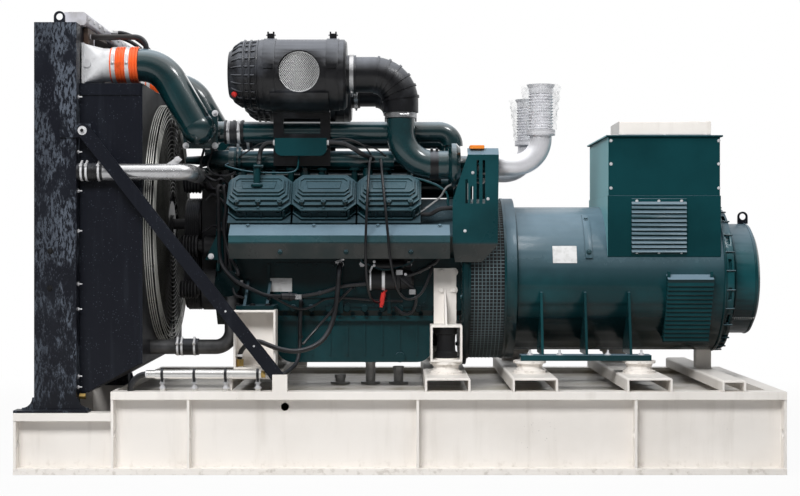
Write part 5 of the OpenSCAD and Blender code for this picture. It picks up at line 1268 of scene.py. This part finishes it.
class GENSET_OT_block_trim(bpy.types.Operator):
    """Adds the starter, the front drive, the valley pipes and the small castings of the block."""

    bl_idname = "genset.block_trim"
    bl_label = "Block trim"

    def execute(self, context):
        cast, dark, steel = Shape(20), Shape(20), Shape()
        for hand in HANDS:
            self.flank(cast, hand)
        self.starter(dark, steel)
        self.front_drive(cast, dark, steel)
        self.belt_ribs()
        self.valley(cast, steel)
        lever = ((-1.22, 1.608), (-1.155, 1.652), (-1.136, 1.634), (-1.175, 1.596))
        steel.plate([(x, -0.736, z) for x, z in lever], (0, 0.012, 0))
        steel.bolt((-1.16, -0.737, 1.634), -Y, 0.011)
        # The castings wear the block's darker green, painted shade
        cast.done("block_castings", "shaded_block_paint", "engine_paint", bevel=0.0015)
        dark.done("starter_and_pumps", "drive_iron")
        steel.done("block_bolts", "zinc", "bright_steel")
        return {"FINISHED"}

    @staticmethod
    def flank(cast, hand):
        """Bolted plates, ribs and core plugs on one side of the block."""
        face, thick, rib, margin = hand * 0.33, 0.012, 0.03, 0.016
        out = hand * Y
        for low_x, high_x, low_z, high_z in ((-0.69, -0.345, 0.9, 1.09), (-0.3, 0.15, 0.85, 0.96)):
            near, far = sorted((face, face + hand * thick))
            cast.block((low_x, near, low_z), (high_x, far, high_z))
            for i in range(4):
                x = low_x + 0.018 + i * (high_x - low_x - 0.036) / 3
                for z in (low_z + margin, high_z - margin):
                    cast.bolt((x, face + hand * thick, z), out, 0.008)
        near, far = sorted((face, face + hand * rib))
        for x in (-0.9, -0.72, -0.32, -0.06):
            cast.block((x - 0.009, near, 0.815), (x + 0.009, far, 1.085))
        for i in range(12):
            plug = (-0.88 + 0.098 * i, face + hand * 0.001, 0.842)
            cast.lathe(plug, out, [(0, 0.022), (0.014, 0.018), (0.014, 0)], 14)

    @staticmethod
    def starter(dark, steel):
        """The starter motor under its solenoid, with terminals and straps."""
        axis = Vector((0.0, -0.392, 1.0))
        dark.lathe(axis, X, [
            (-0.19, 0), (-0.19, 0.03), (-0.178, 0.042), (-0.178, 0.056), (-0.02, 0.056), (-0.016, 0.064),
            (0.0, 0.064), (0.004, 0.054), (0.06, 0.048), (0.075, 0.03), (0.075, 0),
        ])
        dark.lathe((0.0, -0.4, 1.078), X, [
            (-0.13, 0), (-0.13, 0.028), (0.02, 0.028), (0.03, 0.016), (0.06, 0.016), (0.06, 0),
        ])
        for x, z in ((-0.14, 1.078), (-0.14, 1.098), (0.03, 1.03)):
            steel.rod((x, -0.44, z), (x, -0.415, z), 0.008, 8)
        steel.rod((-0.165, -0.436, 1.04), (-0.15, -0.436, 1.075), 0.006, 8)
        for x, width in ((-0.09, 0.016), (-0.16, 0.008)):
            steel.band(axis + x * X, X, 0.057, width)
        for x in (-0.206, -0.092, 0.05):
            steel.disc((x, -0.33, 1.085), -Y, 0.016, 0.08, 6)

    @staticmethod
    def front_drive(cast, dark, steel):
        """The charging alternator, the idler pulleys and the fan drive's bracket, on the front cover."""
        front, groove_pitch = -1.208, 0.017
        for y, z, radius, body in (
            (-0.29, 0.945, 0.05, 0.112), (-0.245, 1.185, 0.06, 0.06), (-0.15, 1.545, 0.065, 0.055),
        ):
            profile = [(front - 0.006, 0), (front - 0.006, 0.5 * radius), (front, radius)]
            for groove in range(5):
                along = front + groove_pitch * groove
                profile += [(along, radius), (along + 0.006, 0.86 * radius), (along + 0.011, radius)]
            profile += [
                (-1.118, radius), (-1.116, 0.6 * radius), (-1.094, 0.6 * radius), (-1.092, 0.8 * body),
                (-1.08, body), (-1.008, body), (-1.006, 0),
            ]
            dark.lathe((0, y, z), X, profile, 32)
        dark.block((-1.116, -0.115, 0.985), (-1.012, 0.115, 1.545))
        ear = ((-1.062, 1.108), (-0.965, 1.108), (-0.965, 1.275), (-0.985, 1.275))
        cast.plate([(x, -0.385, z) for x, z in ear], (0, 0.012, 0))
        steel.bolt((-1.03, -0.386, 1.128), -Y, 0.011)
        for x, low, high in ((-0.995, 1.08, 1.48), (-0.96, 1.12, 1.5)):
            pipe = [(x, -0.29, low), (x, -0.35, low), (x, -0.35, high), (x, -0.29, high)]
            cast.tube(smooth(pipe, 4), 0.01)

    @staticmethod
    def valley(cast, steel):
        """Pipes and saddles between the banks, and the flanged mouth of the coolant manifold."""
        for i, x in enumerate((-0.78, -0.6, -0.43, -0.25, -0.08, 0.09)):
            cast.rod((x, -0.3, 1.48 + 0.004 * (i % 2)), (x, -0.3, 1.615), 0.017)
            cast.disc((x, -0.3, 1.6), Z, 0.03, 0.012, 16)
        for low_x, high_x, y, z, radius in (
            (-0.925, 0.23, -0.185, 1.56, 0.03),
            (-0.925, 0.16, -0.12, 1.64, 0.045),
            (-0.85, 0.3, -0.06, 1.52, 0.06),
        ):
            for hand in HANDS:
                cast.rod((low_x, hand * y, z), (high_x, hand * y, z), radius)
        for x in (-0.7, 0.05):
            cast.block((x - 0.01, -0.26, 1.48), (x + 0.01, 0.26, 1.64))
        mouth = Vector((0, -0.25, 1.659))
        cast.lathe(mouth - 0.985 * X, X, [
            (-0.2, 0), (-0.2, 0.02), (-0.1, 0.026), (-0.05, 0.05), (0.02, 0.056), (0.07, 0.056),
            (0.07, 0),
        ])
        for x in (-0.915, -0.89):
            cast.lathe(mouth + x * X, X, [(0, 0.05), (0, 0.074), (0.014, 0.074), (0.014, 0.05)], 28)
        for spot in circle(mouth - 0.918 * X, -Y, Z, 0.064, 6):
            steel.bolt(spot, -X, 0.007)

    @staticmethod
    def belt_ribs():
        """Ribs round the belts, which run over the fan pulley and the larger crankshaft pulley."""
        low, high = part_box("fan_belts")
        count, wire, steps = 7, 0.0038, 24
        crank_r, crank_z = high[1], low[2] + high[1]
        fan_r = high[2] - FAN_Z
        lean = math.asin((crank_r - fan_r) / (FAN_Z - crank_z))
        ribs = Shape()
        for i in range(count):
            x = low[0] + (i + 0.5) * (high[0] - low[0]) / count
            path = []
            for radius, centre, start, sweep in (
                (fan_r, FAN_Z, lean, math.pi - 2 * lean),
                (crank_r, crank_z, math.pi - lean, math.pi + 2 * lean),
            ):
                for k in range(steps + 1):
                    angle = start + sweep * k / steps
                    path.append(Vector((x, radius * math.cos(angle), centre + radius * math.sin(angle))))
            ribs.tube(path + path[:1], wire, 6)
        ribs.done("belt_ribs", "rubber")


class GENSET_OT_plates(bpy.types.Operator):
    """Fixes the bare data plates, the red connector, the cap on the shield and the film on the exhaust."""

    bl_idname = "genset.plates"
    bl_label = "Plates, caps and film"

    def execute(self, context):
        self.data_plates()
        tag = Shape(10)
        tag.rod((-0.101, -0.405, 0.862), (-0.09, -0.398, 0.928), 0.013)
        tag.rod((-0.103, -0.406, 0.85), (-0.101, -0.405, 0.868), 0.009)
        tag.rod((-0.09, -0.398, 0.928), (-0.072, -0.392, 0.946), 0.006)
        tag.done("red_connector", "red_tag", "silicone")
        cap = Shape()
        cap.block((0.374, -0.53, 1.704), (0.452, -0.43, 1.724))
        cap.done("shield_cap", "orange_cap", "silicone", bevel=0.004)
        self.film()
        return {"FINISHED"}

    @staticmethod
    def data_plates():
        """One flat plate on the block, and one bent round the alternator."""
        plate = Shape()
        plate.block((-0.716, -0.346, 0.934), (-0.592, -0.341, 1.008))
        barrel_r, low, step = 0.408, 0.091, 0.0155
        left, right, inner, outer = 0.833, 0.964, 0.4055, 0.4085
        arc = []
        for i in range(7):
            angle = math.asin((low + i * step) / barrel_r)
            section = ((left, inner), (left, outer), (right, outer), (right, inner))
            arc.append([(x, -r * math.cos(angle), CRANK_Z + r * math.sin(angle)) for x, r in section])
        plate.rings(arc)
        plate.done("data_plates", "bare_plate", "bright_steel")

    @staticmethod
    def film():
        """Film round each exhaust collar: it flares towards the top and hangs in folds."""
        low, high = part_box("exhaust_outlets")
        reach = (high[0] - low[0]) / 2 + 0.006
        outlet_y, steps, drop, sides = 0.4, 33, 0.0075, 40
        film = Shape()
        for hand in HANDS:
            rings = []
            for step in range(steps):
                centre = Vector(((low[0] + high[0]) / 2, hand * outlet_y, high[2] - 0.004 - step * drop))
                flare = 0.026 * (1 - step / steps) ** 1.5
                ring = []
                for k in range(sides):
                    angle = 2 * math.pi * k / sides
                    fold = 0.004 * math.sin(5 * angle + 0.9 * step)
                    fold += 0.003 * math.sin(11 * angle - 1.3 * step)
                    out = Vector((math.cos(angle), math.sin(angle), 0))
                    ring.append(centre + (reach + flare + fold) * out)
                rings.append(ring)
            film.rings(rings)
        film.done("exhaust_film", "clear_film", "exhaust_steel", crease=80)


class GENSET_OT_base_trim(bpy.types.Operator):
    """Ties the drain tube to its studs and dresses the unions, tank fittings and radiator top."""

    bl_idname = "genset.base_trim"
    bl_label = "Base and radiator trim"

    def execute(self, context):
        black, steel, brass, pale, brown = Shape(), Shape(), Shape(), Shape(), Shape()
        self.drain(black, steel, brass)
        hose_start, hose_end = (Vector(OIL_HOSE[i]) for i in (0, -1))
        hose_r = 0.0142
        brass.rod(hose_end - 0.029 * Z, hose_end + 0.008 * Z, 0.023, 6)
        steel.clamp(hose_end + 0.028 * Z, Z, hose_r, 0.012, (-0.4, -1, 0))
        steel.clamp(hose_start - 0.016 * Y, Y, hose_r, 0.012, (-0.4, 0, 1))
        brass.rod((-1.672, -0.72, 0.4), (-1.64, -0.72, 0.4), 0.016, 6)
        for hand in HANDS:
            gusset = [(x, hand * 0.455, z) for x, z in ((-1.678, 2.316), (-1.545, 2.262), (-1.678, 2.24))]
            pale.plate(gusset, (0, hand * 0.006, 0))
            near, far = sorted((hand * 0.1, hand * 0.6))
            # Painted shade: a dark strip stands for the shaded gap beside each gusset
            brown.block((-1.678, near, 2.255), (-1.655, far, 2.34))
            steel.disc((-1.655, hand * 0.633, 2.148), hand * Y, 0.022, 0.003, 20)
            for y in (0.6, 0.47, 0.33, 0.2):
                steel.bolt((-1.65, hand * y, 2.385), X, 0.009)
            for i in range(11):
                steel.bolt((-1.7, hand * (0.05 + 0.058 * i), 2.346), Z, 0.008)
        black.done("drain_ties", "rubber")
        steel.done("base_bolts", "zinc", "bright_steel")
        brass.done("brass_unions", "brass_fittings")
        pale.done("header_gussets", "header_paint")
        brown.done("gap_shade_strips", "turbo_iron")
        return {"FINISHED"}

    @staticmethod
    def drain(black, steel, brass):
        """Studs and ties under the drain tube, and the unions at its ends."""
        tube_y, tube_z, sleeve_r = -0.75, 0.517, 0.0265
        for x in (-1.235, -1.069, -0.906, -0.739):
            black.band((x, tube_y, tube_z), X, sleeve_r, 0.014, 0.003)
            tail_y = tube_y - 0.012
            black.rod((x, tail_y, tube_z - sleeve_r - 0.012), (x, tail_y, tube_z), 0.007, 8)
            steel.rod((x, tube_y, 0.432), (x, tube_y, tube_z - sleeve_r), 0.01, 10)
            for z, radius in ((0.444, 0.015), (0.47, 0.012)):
                steel.bolt((x, tube_y, z), Z, radius)
        for shape, start, stop, radius, sides in (
            (brass, -1.312, -1.262, 0.02, 6),
            (steel, -1.322, -1.308, 0.021, 14),
            (brass, -0.724, -0.7, 0.019, 6),
        ):
            shape.rod((start, tube_y, tube_z), (stop, tube_y, tube_z), radius, sides)


class GENSET_OT_alternator_trim(bpy.types.Operator):
    """Adds latches, clips and beads round the alternator, and the screen under its end bell."""

    bl_idname = "genset.alternator_trim"
    bl_label = "Alternator trim"

    def execute(self, context):
        painted, mesh = Shape(20), Shape()
        hub = CRANK_Z * Z
        latch = Vector((0.008, 0.006, 0.018))
        for hand in HANDS:
            for x in (1.456, 1.688):
                centre = Vector((x, hand * 0.436, 1.028))
                painted.block(centre - latch, centre + latch)
            for i in range(12):
                angle = math.radians(8 + 15 * i)
                spoke = Vector((0, hand * math.sin(angle), math.cos(angle)))
                painted.rod(hub + 1.772 * X + 0.407 * spoke, hub + 1.826 * X + 0.405 * spoke, 0.005, 6)
            for i in range(14):
                low = Vector((1.83 + 0.0105 * i, hand * 0.235, 0.788))
                mesh.rod(low, low + Vector((0, -hand * 0.06, -0.036)), 0.002, 4)
        for x in (1.85, 1.962):
            painted.ring(hub + x * X, X, 0.3085, 0.007, 64, 8)
        for x in (0.64, 1.772):
            painted.ring(hub + x * X, X, 0.409, 0.006, 80, 8)
        painted.done("alternator_beads", "engine_paint")
        mesh.done("bell_screen", "mesh_steel", "bright_steel")
        return {"FINISHED"}


class GENSET_OT_stage(bpy.types.Operator):
    """Sets the white floor, the soft lamps and the camera."""

    bl_idname = "genset.stage"
    bl_label = "Stage"

    def execute(self, context):
        scene = context.scene
        scene.view_settings.view_transform = "Standard"
        self.floor(scene)
        self.sky(scene)
        self.lamps(scene)
        self.camera(scene)
        return {"FINISHED"}

    @staticmethod
    def seen(nodes, mirrored_share):
        """1 for rays from the lens or through glass, and a share of 1 for reflections."""
        path = nodes.node("ShaderNodeLightPath", {}, {})
        kinds = ("Camera", "Glossy", "Transmission")
        lens, gloss, glass = (Value(nodes, path.outputs[f"Is {kind} Ray"]) for kind in kinds)
        return lens.maths("MAXIMUM", lens.maths("MAXIMUM", lens, glass), gloss * mirrored_share)

    def floor(self, scene):
        """A floor that the lens sees as white, with soft shadows near the set."""
        f = Finish("white_floor", roughness=0.9)
        f.set(Base_Color=(0.5, 0.5, 0.5))
        glow = f.node("ShaderNodeEmission", {}, {"Color": (1, 1, 1), "Strength": 1.0})
        far = (f.axis("X") ** 2 + f.axis("Y") ** 2).ramp(9.0, 36.0)
        both = f.blend(f.shader, glow, self.seen(f, 0.12) * (0.955 + 0.045 * far))
        f.feed(f.output.inputs["Surface"], both)
        size = 400.0
        corners = [(-size, -size, 0), (size, -size, 0), (size, size, 0), (-size, size, 0)]
        data = bpy.data.meshes.new("floor")
        data.from_pydata(corners, [], [range(4)])
        data.materials.append(f.material)
        floor = bpy.data.objects.new("floor", data)
        scene.collection.objects.link(floor)

    def sky(self, scene):
        """A dim sky, white for the lens, that reflections see behind and above the set."""
        world = bpy.data.worlds.new("sky")
        world.use_nodes = True
        scene.world = world
        nodes = Nodes(world.node_tree, "Generated")
        dim, white = (
            nodes.node("ShaderNodeBackground", {}, {"Color": tint, "Strength": strength})
            for tint, strength in (((0.93, 0.96, 1.0), scene.genset_light.sky), ((1, 1, 1), 1.0))
        )
        behind = nodes.axis("Y").ramp(0.0, 0.5)
        above = nodes.axis("Z").ramp(0.25, 0.85)
        share = 0.02 + behind.maths("MAXIMUM", behind * 0.75, above * 1.3)
        both = nodes.blend(dim, white, self.seen(nodes, share))
        nodes.node("ShaderNodeOutputWorld", {}, {"Surface": both})

    @staticmethod
    def lamps(scene):
        light = scene.genset_light
        for name, power, size, place, aim, mirrored in (
            ("overhead", light.overhead, (7.0, 4.0), (0.0, -0.6, 6.0), (0, 0, 1.0), True),
            ("front", light.front, (4.5, 2.2), (-2.0, -7.2, 6.2), (0, -0.5, 1.1), False),
            ("glint", 0.1 * light.front, (1.4, 1.0), (2.6, -2.8, 6.4), (-0.6, 0, 1.6), True),
            ("back", light.back, (7.0, 3.0), (0.0, 7.5, 5.0), (0, 0, 1.2), True),
        ):
            data = bpy.data.lights.new(name, "AREA")
            data.shape = "RECTANGLE"
            data.size, data.size_y = size
            data.energy = power
            lamp = bpy.data.objects.new(name, data)
            lamp.location = place
            lamp.rotation_euler = (Vector(aim) - Vector(place)).to_track_quat("-Z", "Y").to_euler()
            lamp.visible_glossy = mirrored
            scene.collection.objects.link(lamp)

    @staticmethod
    def camera(scene):
        view = scene.genset_camera
        data = bpy.data.cameras.new("camera")
        data.sensor_width = 36.0
        data.lens = view.lens
        camera = bpy.data.objects.new("camera", data)
        camera.location = (0.0, -view.distance, view.height)
        camera.rotation_euler = (math.radians(90), 0, 0)
        scene.collection.objects.link(camera)
        scene.camera = camera


class GENSET_PT_panel(bpy.types.Panel):
    """Lists the steps that dress the set, with their sizes and colours."""

    bl_idname = "GENSET_PT_panel"
    bl_label = "Generating set"
    bl_space_type = "VIEW_3D"
    bl_region_type = "UI"
    bl_category = "Genset"

    def draw(self, context):
        layout = self.layout
        for step in OPERATORS:
            layout.operator(step.bl_idname)
        for settings in GROUPS:
            box = layout.box()
            group = getattr(context.scene, settings)
            for key in group.bl_rna.properties.keys():
                if key not in ("rna_type", "name"):
                    box.prop(group, key)


GROUPS = {
    "genset_paint": GensetPaint,
    "genset_camera": GensetCamera,
    "genset_light": GensetLight,
    "genset_fitting": GensetFitting,
}
OPERATORS = (
    GENSET_OT_finishes,
    GENSET_OT_free_lines,
    GENSET_OT_fan_cage,
    GENSET_OT_coupling_mesh,
    GENSET_OT_cleaner_trim,
    GENSET_OT_cover_trim,
    GENSET_OT_hose_clamps,
    GENSET_OT_fasteners,
    GENSET_OT_harness,
    GENSET_OT_block_trim,
    GENSET_OT_plates,
    GENSET_OT_base_trim,
    GENSET_OT_alternator_trim,
    GENSET_OT_stage,
)


def register():
    for group in GROUPS.values():
        bpy.utils.register_class(group)
    for name, group in GROUPS.items():
        setattr(bpy.types.Scene, name, PointerProperty(type=group))
    for step in (*OPERATORS, GENSET_PT_panel):
        bpy.utils.register_class(step)


def unregister():
    for step in (GENSET_PT_panel, *reversed(OPERATORS)):
        bpy.utils.unregister_class(step)
    for name in GROUPS:
        delattr(bpy.types.Scene, name)
    for group in GROUPS.values():
        bpy.utils.unregister_class(group)


def main():
    register()
    for step in OPERATORS:
        getattr(bpy.ops.genset, step.bl_idname.split(".")[1])()


if __name__ == "__main__":
    main()
